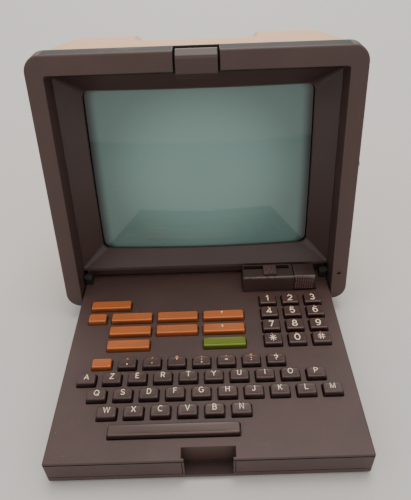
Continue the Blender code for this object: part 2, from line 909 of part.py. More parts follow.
def base_tray():
    """The lower housing: a tapering tray, a sill behind the keyboard and posts for the board."""
    def tapered(front, back, low, high, front_half, back_half):
        bm = box((-front_half, front, low), (front_half, back, high))
        for vert in bm.verts:
            if near(vert.co.y, back):
                vert.co.x = math.copysign(back_half, vert.co.x)
        return bm

    made = piece("base_tray", tapered(tray_front, tray_back, tray_underside, tray_rim,
                                      tray_front_width / 2, tray_back_width / 2), brown())
    weld(made, box((-sill_width / 2, tray_front, tray_underside + wall),
                   (sill_width / 2, tray_front + wall, sill_top)), "sill")
    cut(made, tapered(tray_front + wall, tray_back - wall, tray_underside + wall, tray_rim + overrun,
                      tray_front_width / 2 - wall, tray_back_width / 2 - wall), "hollow")
    bm = bmesh.new()
    board_x, board_y = main_board_size[0] / 2 - board_margin, main_board_size[1] - 2 * board_margin
    for side in (-1, 1):
        for y in (main_board_front + board_margin, main_board_front + board_margin + board_y):
            x = side * (board_x if y < body_depth / 2 else tray_back_width / 2 - 3 * board_margin)
            bottom, top = tray_underside + wall / 2, main_board_underside - seat_gap
            add_cylinder(bm, (x, y, (bottom + top) / 2), board_post, top - bottom, "Z")
    weld(made, bm, "posts")


def rubber_feet():
    for end, (x, y) in (("front", foot_front), ("rear", foot_rear)):
        for side, name in ((-1, "left"), (1, "right")):
            top = tray_underside - seat_gap
            bm = cylinder((side * x, y, top / 2), foot_radius, top, "Z")
            bevel_edges(bm, lambda a, b: near(a.z, 0) and near(b.z, 0), foot_chamfer, 1)
            piece(f"foot_{end}_{name}", bm, rubber(), smooth=True)


def inside_parts():
    """What the base tray carries: boards, transformers, loudspeaker and leads."""
    board_top = main_board_underside + board_wall
    half = main_board_size[0] / 2
    bm = box((-half, main_board_front, main_board_underside),
             (half, main_board_front + main_board_size[1], board_top))
    for vert in bm.verts:
        if vert.co.y > body_depth / 2:
            vert.co.x = math.copysign(tray_back_width / 2 - board_margin, vert.co.x)
    piece("main_board", bm, circuit())

    x, y = transformer_place
    seat = board_top + seat_gap
    size_x, size_y, size_z = transformer_core
    made = piece("mains_transformer", box((x - size_x / 2, y - size_y / 2, seat),
                                          (x + size_x / 2, y + size_y / 2, seat + size_z)), ferrite())
    coil_x, coil_y, coil_z = transformer_coil
    middle = seat + size_z / 2
    weld(made, box((x - coil_x / 2, y - coil_y / 2, middle - coil_z / 2),
                   (x + coil_x / 2, y + coil_y / 2, middle + coil_z / 2)), "coil")

    x, y = flyback_place
    made = piece("flyback_transformer", cylinder((x, y, seat + flyback_height / 2), flyback_radius,
                                                 flyback_height, "Z"), black(), smooth=True)
    block = flyback_radius * 0.8
    bm = box((x - block, y - 1.6 * block, seat), (x + block, y + 1.6 * block, seat + 2 * block))
    weld(made, bm, "core")

    x, y = speaker_place
    floor = tray_underside + wall + seat_gap
    bm = cylinder((x, y, floor + speaker_height / 2), speaker_radius, speaker_height, "Z",
                  end_radius=speaker_radius / 2)
    piece("loudspeaker", bm, ferrite(), smooth=True)

    half = ribbon_width / 2
    bm = box((ribbon_place - half, tray_front + wall + seat_gap, seat),
             (ribbon_place + half, main_board_front + board_margin, seat + ribbon_wall))
    piece("keyboard_ribbon", bm, beige())

    x, y = flyback_place
    start = Vector((x, y, seat + flyback_height + seat_gap + lead_radius / 2))
    depth_share, size_share, _ = funnel_shares[2]
    cap_x = neck_radius + (glass_half[0] - neck_radius) * size_share + 2 * lead_radius
    target = Vector((cap_x, *face_to_stand(glass_depth + tube_length * depth_share, screen_middle)))
    steps = 12
    points = []
    for step in range(steps + 1):
        share = step / steps
        bow = Vector((lead_bow, 0.0, lead_bow)) * 4 * share * (1 - share)
        points.append(start.lerp(target, share) + bow)
    tube("anode_lead", points, lead_radius, black())


def case_cavities(low, high):
    """The hollow inside the keyboard case, round the notch and the cut-out for the switch block."""
    side = half_keyboard - wall
    front = -keyboard_reach + wall
    notch_back = -keyboard_reach + notch_depth + wall
    notch_side = notch_width / 2 + wall
    cut_front = cutout_front - wall
    back = keyboard_tail - wall
    cut_left = block_left - block_clearance - wall
    cut_right = block_right + block_clearance + wall
    join = seat_gap
    boxes = [
        ((-side, notch_back, low), (side, cut_front, high)),
        ((-side, front, low), (-notch_side, notch_back + join, high)),
        ((notch_side, front, low), (side, notch_back + join, high)),
        ((-side, cut_front - join, low), (cut_left, back, high)),
        ((cut_right, cut_front - join, low), (side, back, high)),
    ]
    return boxes


def case_openings(made, low, high):
    """The notch for the latch and the cut-out that clears the switch block."""
    notch_back = -keyboard_reach + notch_depth
    front_wall = -keyboard_reach + wall
    bm = box((-notch_width / 2, front_wall, max(low, notch_floor)), (notch_width / 2, notch_back, high))
    cut(made, bm, "notch", keyboard_axis)
    bm = box((-notch_mouth / 2, -keyboard_reach - overrun, max(low, notch_floor)),
             (notch_mouth / 2, front_wall + overrun, high))
    cut(made, bm, "notch_mouth", keyboard_axis)
    bm = box((block_left - block_clearance, cutout_front, low),
             (block_right + block_clearance, keyboard_tail + overrun, high))
    cut(made, bm, "block_cutout", keyboard_axis)


def keyboard_top(openings):
    """The deck: a thin case over the keys, with an opening for each key and an ear at each hinge."""
    low = seam_height
    bm = box((-half_keyboard, -keyboard_reach, low), (half_keyboard, keyboard_tail, deck_top))
    bevel_edges(bm, lambda a, b: near(a.z, deck_top) and near(b.z, deck_top), case_round, 2)
    made = piece("keyboard_top", bm, brown(), keyboard_axis)
    for index, (start, end) in enumerate(case_cavities(low - overrun, deck_top - deck_wall)):
        cut(made, box(start, end), f"cavity_{index}", keyboard_axis)
    case_openings(made, low - overrun, deck_top + overrun)

    bm = bmesh.new()
    for side in (-1, 1):
        ear_x = side * (half_keyboard - seat_gap - ear_width / 2)
        xs = (ear_x - ear_width / 2, ear_x + ear_width / 2)
        ear = prism_x(ear_outline(), *xs)
        mesh = bpy.data.meshes.new("ear")
        ear.to_mesh(mesh)
        ear.free()
        bm.from_mesh(mesh)
        bpy.data.meshes.remove(mesh)
    weld(made, bm, "ears", keyboard_axis)
    bm = bmesh.new()
    for side in (-1, 1):
        add_cylinder(bm, (side * (half_keyboard - ear_width / 2), hinge_y, hinge_z),
                     pin_radius + pin_gap, 2 * ear_width, "X")
    cut(made, bm, "pin_bores", keyboard_axis)

    bm = bmesh.new()
    for x, y, width, depth in openings:
        add_box(bm, (x - width / 2, y - depth / 2, deck_top - deck_wall - overrun),
                (x + width / 2, y + depth / 2, deck_top + overrun))
    cut(made, bm, "key_openings", keyboard_axis)


def ear_outline():
    """A hinge ear from the side: a round head on a foot that stands in the deck."""
    foot = deck_top - deck_wall / 2
    outline = [(hinge_y - ear_radius, foot)]
    steps = 10
    for step in range(steps + 1):
        angle = math.pi - math.pi * step / steps
        outline.append((hinge_y + ear_radius * math.cos(angle), hinge_z + ear_radius * math.sin(angle)))
    outline.append((hinge_y + ear_radius, foot))
    return outline


def hinge_pins():
    for side, name in ((-1, "left"), (1, "right")):
        inner = half_keyboard - seat_gap - ear_width - seat_gap
        outer = half_opening + pin_out
        centre = (side * (inner + outer) / 2, hinge_y, hinge_z)
        piece(f"hinge_pin_{name}", cylinder(centre, pin_radius, outer - inner, "X"), black(), smooth=True)


def keyboard_base():
    """The keyboard's tray, with pads that touch the table and posts that carry the key board."""
    high = seam_height - seat_gap
    bm = box((-half_keyboard, -keyboard_reach, case_underside), (half_keyboard, keyboard_tail, high))
    bevel_edges(bm, lambda a, b: near(a.z, case_underside) and near(b.z, case_underside)
                and near(a.y, keyboard_tail) and near(b.y, keyboard_tail), tail_chamfer, 1)
    made = piece("keyboard_base", bm, brown(), keyboard_axis)
    floor = case_underside + case_floor
    for index, (start, end) in enumerate(case_cavities(floor, high + overrun)):
        if end[1] > cutout_front:
            end = (end[0], keyboard_tail - tail_chamfer - wall, end[2])
        cut(made, box(start, end), f"cavity_{index}", keyboard_axis)
    case_openings(made, case_underside - overrun, high + overrun)
    bm = bmesh.new()
    pad_x = half_keyboard - pad_inset
    for x in (-pad_x, pad_x):
        for y in (-keyboard_reach + pad_inset, -pad_inset):
            add_cylinder(bm, (x, y, (case_underside + case_floor / 2) / 2), pad_radius,
                         case_underside + case_floor / 2, "Z")
    weld(made, bm, "pads", keyboard_axis)
    bm = bmesh.new()
    bottom, top = case_underside + case_floor / 2, board_underside - seat_gap
    for x, y in board_posts():
        add_cylinder(bm, (x, y, (bottom + top) / 2), board_post, top - bottom, "Z")
    weld(made, bm, "posts", keyboard_axis)


def board_posts():
    post_x = half_keyboard - wall - 2 * board_margin
    back = cutout_front - wall - 2 * board_margin
    front = -keyboard_reach + notch_depth + 2 * board_margin
    return [(x, y) for x in (-post_x, 0.0, post_x) for y in (front, back)]


def keyboard_board():
    side = half_keyboard - wall - board_margin
    front = -keyboard_reach + notch_depth + board_margin
    back = cutout_front - wall - board_margin / 2
    bm = box((-side, front, board_underside), (side, back, board_underside + board_wall))
    piece("keyboard_board", bm, circuit(), keyboard_axis)


def key_levels(y, size):
    """A key from its stem up: stem, flange under the deck, neck, and the tapering cap."""
    width, depth = size
    neck = (width + key_flare, depth + key_flare + key_front_slope)
    flange = (neck[0] + 2 * (key_clearance + key_flange), neck[1] + 2 * (key_clearance + key_flange))
    under = deck_top - deck_wall - seat_gap
    stem_foot = board_underside + board_wall + key_travel + seat_gap
    middle = y - key_front_slope / 2
    return [
        (stem_foot, stem_size, stem_size, middle),
        (under - flange_height, stem_size, stem_size, middle),
        (under - flange_height, *flange, middle),
        (under, *flange, middle),
        (under, *neck, middle),
        (deck_top + seat_gap, *neck, middle),
        (deck_top + key_height, width, depth, y),
    ]


def add_key(bm, place, size):
    x, y = place
    top = add_stack(bm, x, key_levels(y, size))
    edges = [edge for edge in bm.edges if edge.verts[0] in top and edge.verts[1] in top]
    bmesh.ops.bevel(bm, geom=edges, offset=key_edge, segments=1, profile=0.5, affect="EDGES")


def single_key(name, place, size, material):
    bm = bmesh.new()
    add_key(bm, place, size)
    piece(name, bm, material, keyboard_axis)
    return [key_hole(place, size)]


def key_hole(place, size):
    room = key_flare + 2 * key_clearance
    return place[0], place[1] - key_front_slope / 2, size[0] + room, size[1] + room + key_front_slope


def key_row(name, first, count, size, material):
    """A row of letter or symbol keys, joined under the deck by a bar."""
    bm = bmesh.new()
    places = [(first[0] + key_pitch * index, first[1]) for index in range(count)]
    for place in places:
        add_key(bm, place, size)
    made = piece(name, bm, material, keyboard_axis)
    under = deck_top - deck_wall - seat_gap
    low, high = under - flange_height * 0.8, under - flange_height * 0.2
    bar = box((places[0][0], first[1] - row_bar / 2, low), (places[-1][0], first[1] + row_bar / 2, high))
    weld(made, bar, "bar", keyboard_axis)
    return [key_hole(place, size) for place in places]


def keys():
    """Every key, and the openings that the deck needs for them."""
    holes = []
    holes += single_key("key_connect", single_place, long_key, orange())
    holes += single_key("key_zoom", short_place, short_key, orange())
    holes += single_key("key_square", square_place, square_key, orange())
    names = (("repeat", "cancel", "back"), ("index", "correct", "next"), ("guide", None, "send"))
    for row, columns in enumerate(names):
        for column, name in enumerate(columns):
            if name:
                place = (long_first[0] + long_pitch[0] * column, long_first[1] - long_pitch[1] * row)
                holes += single_key(f"key_{name}", place, long_key, green() if name == "send" else orange())
    pad_names = ("1", "2", "3", "4", "5", "6", "7", "8", "9", "star", "0", "hash")
    for index, name in enumerate(pad_names):
        place = (pad_first[0] + pad_pitch[0] * (index % 3), pad_first[1] - pad_pitch[1] * (index // 3))
        holes += single_key(f"key_pad_{name}", place, pad_key, dark_brown())
    holes += key_row("key_row_symbols", symbol_row, 7, letter_key, dark_brown())
    holes += key_row("key_row_upper", upper_row, 10, letter_key, dark_brown())
    holes += key_row("key_row_middle", middle_row, 10, letter_key, dark_brown())
    holes += key_row("key_row_lower", lower_row, 6, letter_key, dark_brown())
    holes += single_key("key_space", space_place, space_key, dark_brown())
    return holes


def switch_housing():
    """The fixed block at the deck's right rear: a tower for the slider and a bay for the rocker."""
    back = tray_front - seat_gap
    made = piece("switch_housing", box((block_left, block_front, block_foot),
                                       (block_right, back, block_shelf)), dark_brown())
    bm = box((block_left, block_front, block_shelf - overrun), (tower_right, tower_back, tower_top))
    bevel_edges(bm, lambda a, b: near(a.z, tower_top) and near(b.z, tower_top)
                and near(a.y, block_front) and near(b.y, block_front), tower_chamfer, 2)
    weld(made, bm, "tower")
    weld(made, box((block_right - cheek_wall, block_front + overrun, block_shelf - overrun),
                   (block_right, tower_back, cheek_top)), "cheek")
    cut(made, box((slot_left, slot_front, tower_top - slot_depth),
                  (slot_right, slot_back, tower_top + overrun)), "slider_slot")
    length = rocker_width() + 2 * trunnion_length + 2 * seat_gap
    cut(made, cylinder((rocker_middle(), *rocker_axis), trunnion_radius + seat_gap, length, "X"), "trunnions")


def rocker_width():
    return block_right - cheek_wall - tower_right - 2 * seat_gap


def rocker_middle():
    return (block_right - cheek_wall + tower_right) / 2


def power_rocker():
    """The rocker: a block with a rounded front edge, on two small trunnions."""
    outline = [(rocker_back, rocker_foot), (rocker_back, rocker_top)]
    centre = (rocker_front + rocker_round, rocker_top - rocker_round)
    steps = 4
    for step in range(steps + 1):
        angle = math.pi / 2 * (1 + step / steps)
        outline.append((centre[0] + rocker_round * math.cos(angle),
                        centre[1] + rocker_round * math.sin(angle)))
    outline.append((rocker_front, rocker_foot))
    half = rocker_width() / 2
    made = piece("power_rocker", prism_x(outline, rocker_middle() - half, rocker_middle() + half),
                 dark_brown(), rocker_centre)
    weld(made, cylinder((rocker_middle(), *rocker_axis), trunnion_radius,
                        rocker_width() + 2 * trunnion_length, "X"), "trunnions", rocker_centre)


def slider():
    """The ridged thumb piece, and the stem that runs in the slot."""
    x, y = slider_place
    size_x, size_y, size_z = slider_size
    low = tower_top + seat_gap
    made = piece("slider", box((x - size_x / 2, y - size_y / 2, low),
                               (x + size_x / 2, y + size_y / 2, low + size_z)), dark_brown())
    stem_y = (slot_front + slot_back) / 2
    stem_half = (slot_back - slot_front) / 2 - seat_gap
    weld(made, box((x - slider_stem / 2, stem_y - stem_half, tower_top - slot_depth / 2),
                   (x + slider_stem / 2, stem_y + stem_half, low + size_z / 2)), "stem")


front_frame()
latch()
side_wheel()
power_lamp()
screen_mask()
picture_tube()
deflection_yoke()
neck_board()
rear_housing()
rear_fitting("data_socket", socket_place, socket_flange, socket_barrel, 0.0, black())
rear_fitting("mains_gland", mains_place, mains_flange, mains_barrel, mains_bore, rubber())
rear_fitting("line_gland", line_place, line_flange, line_barrel, line_bore, rubber())
base_tray()
rubber_feet()
inside_parts()
keyboard_top(keys())
hinge_pins()
keyboard_base()
keyboard_board()
switch_housing()
power_rocker()
slider()
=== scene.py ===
"""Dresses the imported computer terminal: shells, screen, keys, switches and fittings with their
finishes, on a plain pale stage seen from the photograph's angle. Metres, +Z up, the keyboard
towards -Y. Most pieces are measured from the foot line, where the frame's face meets the table."""

import math

import bmesh
import bpy
from mathutils import Matrix, Vector


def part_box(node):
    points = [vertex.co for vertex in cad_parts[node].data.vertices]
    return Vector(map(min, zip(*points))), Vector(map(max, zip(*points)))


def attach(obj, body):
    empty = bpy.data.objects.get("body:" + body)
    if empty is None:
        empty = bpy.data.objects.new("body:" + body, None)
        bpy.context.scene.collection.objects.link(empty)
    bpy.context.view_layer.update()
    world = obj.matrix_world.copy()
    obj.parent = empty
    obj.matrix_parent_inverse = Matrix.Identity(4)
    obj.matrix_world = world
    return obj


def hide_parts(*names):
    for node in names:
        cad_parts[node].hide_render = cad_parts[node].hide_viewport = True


bl_info = {
    "name": "Computer terminal finish",
    "version": (1, 0, 0),
    "blender": (4, 5, 0),
    "location": "3D View > Sidebar > Terminal",
    "description": "Dresses the packed computer terminal and sets its stage",
    "category": "Object",
}

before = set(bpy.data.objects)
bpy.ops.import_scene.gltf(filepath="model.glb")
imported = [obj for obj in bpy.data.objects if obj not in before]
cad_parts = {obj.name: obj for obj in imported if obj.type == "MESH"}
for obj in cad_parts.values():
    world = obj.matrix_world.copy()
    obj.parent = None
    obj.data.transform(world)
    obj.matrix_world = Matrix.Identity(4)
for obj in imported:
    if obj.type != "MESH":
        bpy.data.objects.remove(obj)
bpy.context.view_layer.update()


def corners(node):
    """The lowest and highest corner of a CAD node."""
    return (Vector(corner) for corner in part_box(node))


# The frame's face leans back, and most sizes are measured from the line where it meets the table
face_lean = math.radians(11.3)
keyboard_reach = 0.1536
frame_low, frame_high = corners("front_frame")
case_low, _ = corners("keyboard_top")
stand = Vector(((frame_low.x + frame_high.x) / 2, case_low.y + keyboard_reach, 0.0))
on_stand = Matrix.Translation(stand)
on_face = on_stand @ Matrix.Rotation(-face_lean, 4, "X")
as_it_is = Matrix.Identity(4)

# Small lengths: how far cutters reach past what they cut, and what counts as the same place
overrun = 0.002
hair = 0.0001
same_place = 0.000005

# Stage: the camera is solved from the photograph, which is measured in its pixels
floor_reach = 6.0
light_colour = (1.0, 0.95, 0.90)
photo_wide, photo_high, photo_focal, photo_middle = 411, 500, 512.0, (209.684, 249.626)
camera_place = Vector((0.007664, -0.327462, 0.344785))
camera_forward = Vector((-0.0067, 0.7748, -0.6321))
camera_right = Vector((0.9994, -0.0156, -0.0298))
camera_up = Vector((0.0329, 0.6320, 0.7743))

# Front frame: x across, y behind the face, z up along the face
half_frame = (frame_high.x - frame_low.x) / 2
frame_height = 0.2292
frame_foot = 0.014
frame_skirt = 0.0156
frame_wall = 0.0025
collar_depth = 0.0215
top_radius = 0.0125
foot_radius = 0.012
face_round = 0.0017
crown_fall = 0.0012
frame_rim = 0.01375
half_opening = half_frame - frame_rim
opening_top = 0.2151
opening_drop = 0.0046
opening_radius = 0.0022
boss_low, boss_high, boss_reach = 0.022, 0.046, 0.0055
hinge_y, hinge_z = 0.0245, 0.029
pin_radius, pin_inset, pin_hole = 0.0023, 0.0026, 0.0077

# Lamp and wheel: places from the face's middle, as across, behind and up
lamp_place = (half_frame - 0.00775, 0.0, 0.0402)
lamp_radius, lamp_sunk, lamp_dome, lamp_foot = 0.0012, 0.0012, 0.0003, 0.0034
lamp_hole, lamp_hole_length = 0.0015, 0.0072
wheel_radius, wheel_width = 0.0054, 0.0030
wheel_place = (half_frame + 0.0018 - wheel_radius, 0.0065, 0.1385)
wheel_slot = (0.0018, 0.0057)
wheel_slot_depth = 0.0045

# Latch
latch_slot, latch_slot_depth, latch_slot_lip = 0.034, 0.014, 0.0012
latch_half = 0.0155
latch_front, latch_back = -0.0015, 0.0101
latch_foot, latch_head = 0.2092, 0.2296
latch_bore, latch_bore_middle, latch_bore_length = 0.004, 0.0086, 0.0082

# Screen
mask_depth, mask_foot, mask_margin, mask_wall = 0.0218, 0.0385, 0.0023, 0.0018
half_screen, screen_foot, screen_head, screen_radius = 0.0941, 0.0547, 0.1967, 0.005
screen_middle = (screen_foot + screen_head) / 2
glass_depth, glass_curve, glass_gap = 0.0313, 0.9, 0.0005
glass_half = (0.1004, 0.0761)
glass_squareness, edge_squareness, glass_edge = 10, 9.5, 0.003
mask_shelf, mask_shelf_back = (0.0003, 0.0021), 0.031
picture_half, picture_corner, picture_rise = (0.0890, 0.0741), 0.010, 0.0008
tube_length, neck_radius = 0.186, 0.0103
tube_sides, tube_rings = 160, 26
# The tube behind its glass: shares of its length and of its size above the neck's, and squareness
tube_shares = (
    (0.130, 1.000, 8.0), (0.165, 0.975, 6.4), (0.205, 0.930, 4.6), (0.280, 0.770, 3.4), (0.357, 0.600, 2.8),
    (0.420, 0.435, 2.45), (0.483, 0.280, 2.2), (0.522, 0.175, 2.1), (0.559, 0.090, 2.0),
    (0.585, 0.038, 2.0), (0.610, 0.004, 2.0), (0.640, 0.000, 2.0), (1.000, 0.000, 2.0))

# Housing, feet and rear fittings
shell_edge = 0.0006
foot_round, foot_chamfer = 0.0012, 0.0004
socket_barrel = 0.0075
contact_radius, contact_length, contact_depth, contact_ring = 0.0006, 0.005, 0.0035, 0.0037

# Keyboard case, and how high its deck stands
half_keyboard = 0.1109
keyboard_tail = 0.0329
seam_height = 0.0072
case_underside = 0.0015
case_wall = 0.002
seam_gap = 0.0006
case_round = 0.0012
half_notch, notch_depth, notch_floor, half_mouth = 0.0184, 0.0097, 0.005, 0.0166
groove_top, groove_foot, groove_depth, groove_width = 0.0012, 0.0021, 0.0008, 0.0005
groove_side = half_mouth + groove_top
cutout = (0.0333, 0.0988)
cutout_front = 0.0048
deck_top = 0.0237
deck_wall = 0.0023
deck_under = deck_top - deck_wall
deck_chamfer = 0.00025
ear_radius, ear_width, ear_inset, ear_root = 0.004, 0.0063, 0.0003, 0.001
pad_inset, pad_radius, pad_height = 0.010, 0.004, 0.0025
post_radius, post_height, post_inset, post_middle = 0.002, 0.005, 0.006, 0.0055
tail_chamfer, tail_wall = 0.004, 0.0065

# Switch block
block_front, block_shelf = 0.0050, 0.0220
tower_width, tower_back, tower_top = 0.0446, 0.0224, 0.0398
cheek_wall, cheek_top = 0.0017, 0.0315
slot_front, slot_back, slot_left, slot_right, slot_depth = 0.0168, 0.0214, 0.001, 0.0031, 0.008
rocker_axis, rocker_bore, rocker_bore_wall = (0.0131, 0.0285), 0.0012, 0.0013
slider_middle, slider_ridge, slider_inset = 0.0134, (0.0005, 0.0104), 0.0012
rocker_pip, rocker_inset, rocker_foot, rocker_pitch = (0.0013, 0.0005), 0.0032, 0.0143, 0.00175

# Keys
cap_height, cap_corner = 0.0036, 0.0015
cap_flare, cap_slope, cap_clearance = 0.0008, 0.0008, 0.0004
neck_corner = 0.0012
flange_reach, flange_height = 0.0005, 0.0018
half_stem, stem_foot = 0.002, 0.0184
print_proud, print_sunk = 0.00003, 0.00006
key_pitch = 0.0193
letter_cap = (0.0136, 0.0086)
long_cap = (0.0338, 0.0082)
pad_cap = (0.0138, 0.0106)
# Each key node: place of its first key on the deck, how many beside each other, size of top, finish
keys = {
    "key_row_symbols": ((-0.0620, -0.0734), 7, letter_cap, "key_plastic"),
    "key_row_upper": ((-0.0914, -0.0874), 10, letter_cap, "key_plastic"),
    "key_row_middle": ((-0.0816, -0.1018), 10, letter_cap, "key_plastic"),
    "key_row_lower": ((-0.0722, -0.1166), 6, letter_cap, "key_plastic"),
    "key_space": ((-0.0236, -0.1313), 1, (0.0912, 0.0082), "key_plastic"),
    "key_connect": ((-0.0825, -0.0096), 1, long_cap, "orange_plastic"),
    "key_zoom": ((-0.0924, -0.0246), 1, (0.0146, 0.0082), "orange_plastic"),
    "key_square": ((-0.0819, -0.0728), 1, (0.0148, 0.0078), "orange_plastic"),
}
function_place, function_pitch = (-0.0631, -0.0246), 0.0388
pad_place, pad_pitch = (0.0538, -0.0080), 0.0195
row_pitch = 0.0150
for row, names in enumerate(("repeat cancel back", "index correct next", "guide . send")):
    for column, name in enumerate(names.split()):
        if name != ".":
            place = (function_place[0] + function_pitch * column, function_place[1] - row_pitch * row)
            keys[f"key_{name}"] = (place, 1, long_cap,
                                   "green_plastic" if name == "send" else "orange_plastic")
pad_names = "1 2 3 4 5 6 7 8 9 star 0 hash".split()
for index, name in enumerate(pad_names):
    place = (pad_place[0] + pad_pitch * (index % 3), pad_place[1] - row_pitch * (index // 3))
    keys[f"key_pad_{name}"] = (place, 1, pad_cap, "key_plastic")


# Materials

dust_colour = (0.26, 0.235, 0.225)
# Colour of the painted highlight along an edge
painted_highlight_colour = (0.17, 0.135, 0.125)


class Flow:
    """One value in a material's tree. Sums and products on it add Math nodes."""

    def __init__(self, finish, socket):
        self.finish = finish
        self.socket = socket

    def math(self, operation, *values):
        return self.finish.node("ShaderNodeMath", {"operation": operation}, dict(enumerate(values)))

    def __add__(self, other):
        return self.math("ADD", self, other)

    def __sub__(self, other):
        return self.math("SUBTRACT", self, other)

    def __rsub__(self, other):
        return self.math("SUBTRACT", other, self)

    def __mul__(self, other):
        return self.math("MULTIPLY", self, other)

    def __abs__(self):
        return self.math("ABSOLUTE", self)

    __radd__ = __add__
    __rmul__ = __mul__


class Finish:
    """A material in the making: its tree, the object's own coordinates and its shader."""

    def __init__(self, name):
        self.material = bpy.data.materials.new(name)
        self.material.use_nodes = True
        self.tree = self.material.node_tree
        self.shader = self.tree.nodes["Principled BSDF"]
        self.place = self.node("ShaderNodeTexCoord", {}, {}, "Object")

    def feed(self, socket, value):
        if isinstance(value, Flow):
            self.tree.links.new(value.socket, socket)
        elif socket.type == "RGBA" and len(value) == 3:
            socket.default_value = (*value, 1.0)
        else:
            socket.default_value = value

    def node(self, kind, settings, values, output=0):
        """Adds a node. Its settings are set first, then its sockets get their values or links."""
        made = self.tree.nodes.new(kind)
        for key, value in settings.items():
            setattr(made, key, value)
        for key, value in values.items():
            self.feed(made.inputs[key], value)
        return Flow(self, made.outputs[output])

    def noise(self, scale, detail=2.0, roughness=0.5, place=None):
        return self.node("ShaderNodeTexNoise", {}, {
            "Vector": place or self.place, "Scale": scale, "Detail": detail, "Roughness": roughness})

    def step(self, value, low, high, start=0.0, end=1.0):
        """Start below low, end above high, and a smooth rise between them."""
        return self.node("ShaderNodeMapRange", {"interpolation_type": "SMOOTHSTEP"}, {
            "Value": value, "From Min": low, "From Max": high, "To Min": start, "To Max": end})

    def mix(self, factor, first, second):
        return self.node("ShaderNodeMix", {"data_type": "RGBA"}, {0: factor, 6: first, 7: second}, 2)

    def axes(self, vector=None):
        made = self.node("ShaderNodeSeparateXYZ", {}, {"Vector": vector or self.place})
        return made, *(Flow(self, made.socket.node.outputs[axis]) for axis in "YZ")

    def on_face(self):
        """The object's coordinates turned so that y runs behind the leaning face and z up it."""
        away = on_face.inverted()
        return self.node("ShaderNodeMapping", {"vector_type": "POINT"}, {
            "Vector": self.place, "Location": away.to_translation(), "Rotation": away.to_euler()})

    def bump(self, height, depth, strength=1.0, below=None):
        values = {"Height": height, "Distance": depth, "Strength": strength}
        if below:
            values["Normal"] = below
        return self.node("ShaderNodeBump", {}, values)

    def set(self, **values):
        for key, value in values.items():
            self.feed(self.shader.inputs[key.replace("_", " ")], value)
        return self.material


def linear(colour):
    return tuple(((step / 255 + 0.055) / 1.055) ** 2.4 if step > 10 else step / 3294.6 for step in colour)


def shade(colour, factor):
    return tuple(value * factor for value in colour)


def moulded(name, colour, roughness, grain=900.0, depth=0.00005, dust=0.0, spread=0.08, sides=1.0,
            rubbed_edge=None):
    """Moulded plastic: slow shade changes, an eroded grain, rubbed patches, dust on what faces up,
    sides painted darker as painted shade, and a painted highlight along an edge in x, given by its y and z."""
    made = Finish(name)
    broad = made.step(made.noise(16.0, 4.0, 0.6), 0.35, 0.65)
    fine = made.noise(grain, 3.0, 0.6)
    base = made.mix(broad, shade(colour, 1 - spread), shade(colour, 1 + spread))
    base = made.mix(made.step(fine, 0.45, 0.75, 0.0, 0.35), base, shade(colour, 1.35))
    rubbed = made.step(made.noise(42.0, 5.0, 0.7), 0.52, 0.72)
    if dust or sides < 1:
        _, _, upward = made.axes(made.node("ShaderNodeTexCoord", {}, {}, "Normal"))
        # Painted shade: faces turned away from up are painted darker, by the factor sides
        if sides < 1:
            base = made.mix(made.step(upward, 0.15, 0.7), shade(colour, sides), base)
        specks = made.step(made.noise(900.0, 1.0), 0.775, 0.80) * made.step(upward, 0.5, 0.9, 0.0, dust)
        base = made.mix(specks, base, dust_colour)
    # Painted highlight: a pale, patchy band painted along an edge in x
    if rubbed_edge:
        _, along, up = made.axes()
        away = abs(along - rubbed_edge[0]) + abs(up - rubbed_edge[1])
        patchy = made.step(made.noise(260.0, 4.0, 0.7), 0.36, 0.62, 0.35, 1.0)
        base = made.mix(made.step(away, 0.0022, 0.0006) * patchy, base, painted_highlight_colour)
    rough = roughness + (fine - 0.5) * 0.18 - rubbed * 0.07
    wave = made.bump(made.noise(70.0, 2.0), 0.00006, 0.5)
    return made.set(Base_Color=base, Roughness=rough, Normal=made.bump(fine, depth, 1.0, wave))


def screen_glass(name, phosphor):
    """The tube's bowed face: grey-green phosphor behind polished glass, dark at the border beyond the
    picture, with its middle painted brighter as a painted highlight.
    """
    made = Finish(name)
    across, _, up = made.axes(made.on_face())
    wide_half, high_half = (half - picture_corner for half in picture_half)
    beyond_x = (abs(across) - wide_half).math("MAXIMUM", abs(across) - wide_half, 0.0)
    high = abs(up - screen_middle - picture_rise) - high_half
    beyond_z = high.math("MAXIMUM", high, 0.0)
    away = beyond_x * beyond_x + beyond_z * beyond_z
    away = away.math("SQRT", away) - picture_corner
    edge = made.step(away, -0.0055, 0.0052)
    # Painted highlight: the phosphor is painted brighter towards the middle of the picture
    wide = across * across * 110.0 + (up - screen_middle) * (up - screen_middle) * 120.0
    middle = made.step(wide, 0.0, 0.85, 1.0, 0.0)
    base = made.mix(middle, shade(phosphor, 0.90), shade(phosphor, 1.50))
    grain = made.noise(1500.0, 1.0)
    base = made.mix(made.step(grain, 0.4, 0.7, 0.0, 0.16), base, shade(phosphor, 1.5))
    base = made.mix(edge, base, (0.010, 0.013, 0.015))
    smear = made.step(made.noise(24.0, 4.0, 0.65), 0.5, 0.75, 0.035, 0.075)
    return made.set(Base_Color=base, Roughness=smear, Specular_IOR_Level=0.55)


def plain_glass(name):
    made = Finish(name)
    base = made.mix(made.noise(60.0, 3.0), (0.018, 0.020, 0.021), (0.034, 0.036, 0.038))
    return made.set(Base_Color=base, Roughness=made.step(made.noise(110.0, 3.0), 0.3, 0.7, 0.2, 0.42))


def print_ink(name, colour):
    made = Finish(name)
    worn = made.step(made.noise(700.0, 3.0, 0.6), 0.6, 0.8, 0.0, 0.35)
    base = made.mix(worn, colour, shade(colour, 0.62))
    return made.set(Base_Color=base, Roughness=0.5 + made.noise(900.0) * 0.15)


def brushed_steel(name):
    made = Finish(name)
    streak = made.noise(300.0, 4.0, 0.7)
    base = made.mix(streak, (0.34, 0.35, 0.36), (0.60, 0.61, 0.62))
    return made.set(Base_Color=base, Metallic=1.0, Roughness=made.step(streak, 0.3, 0.7, 0.25, 0.45))


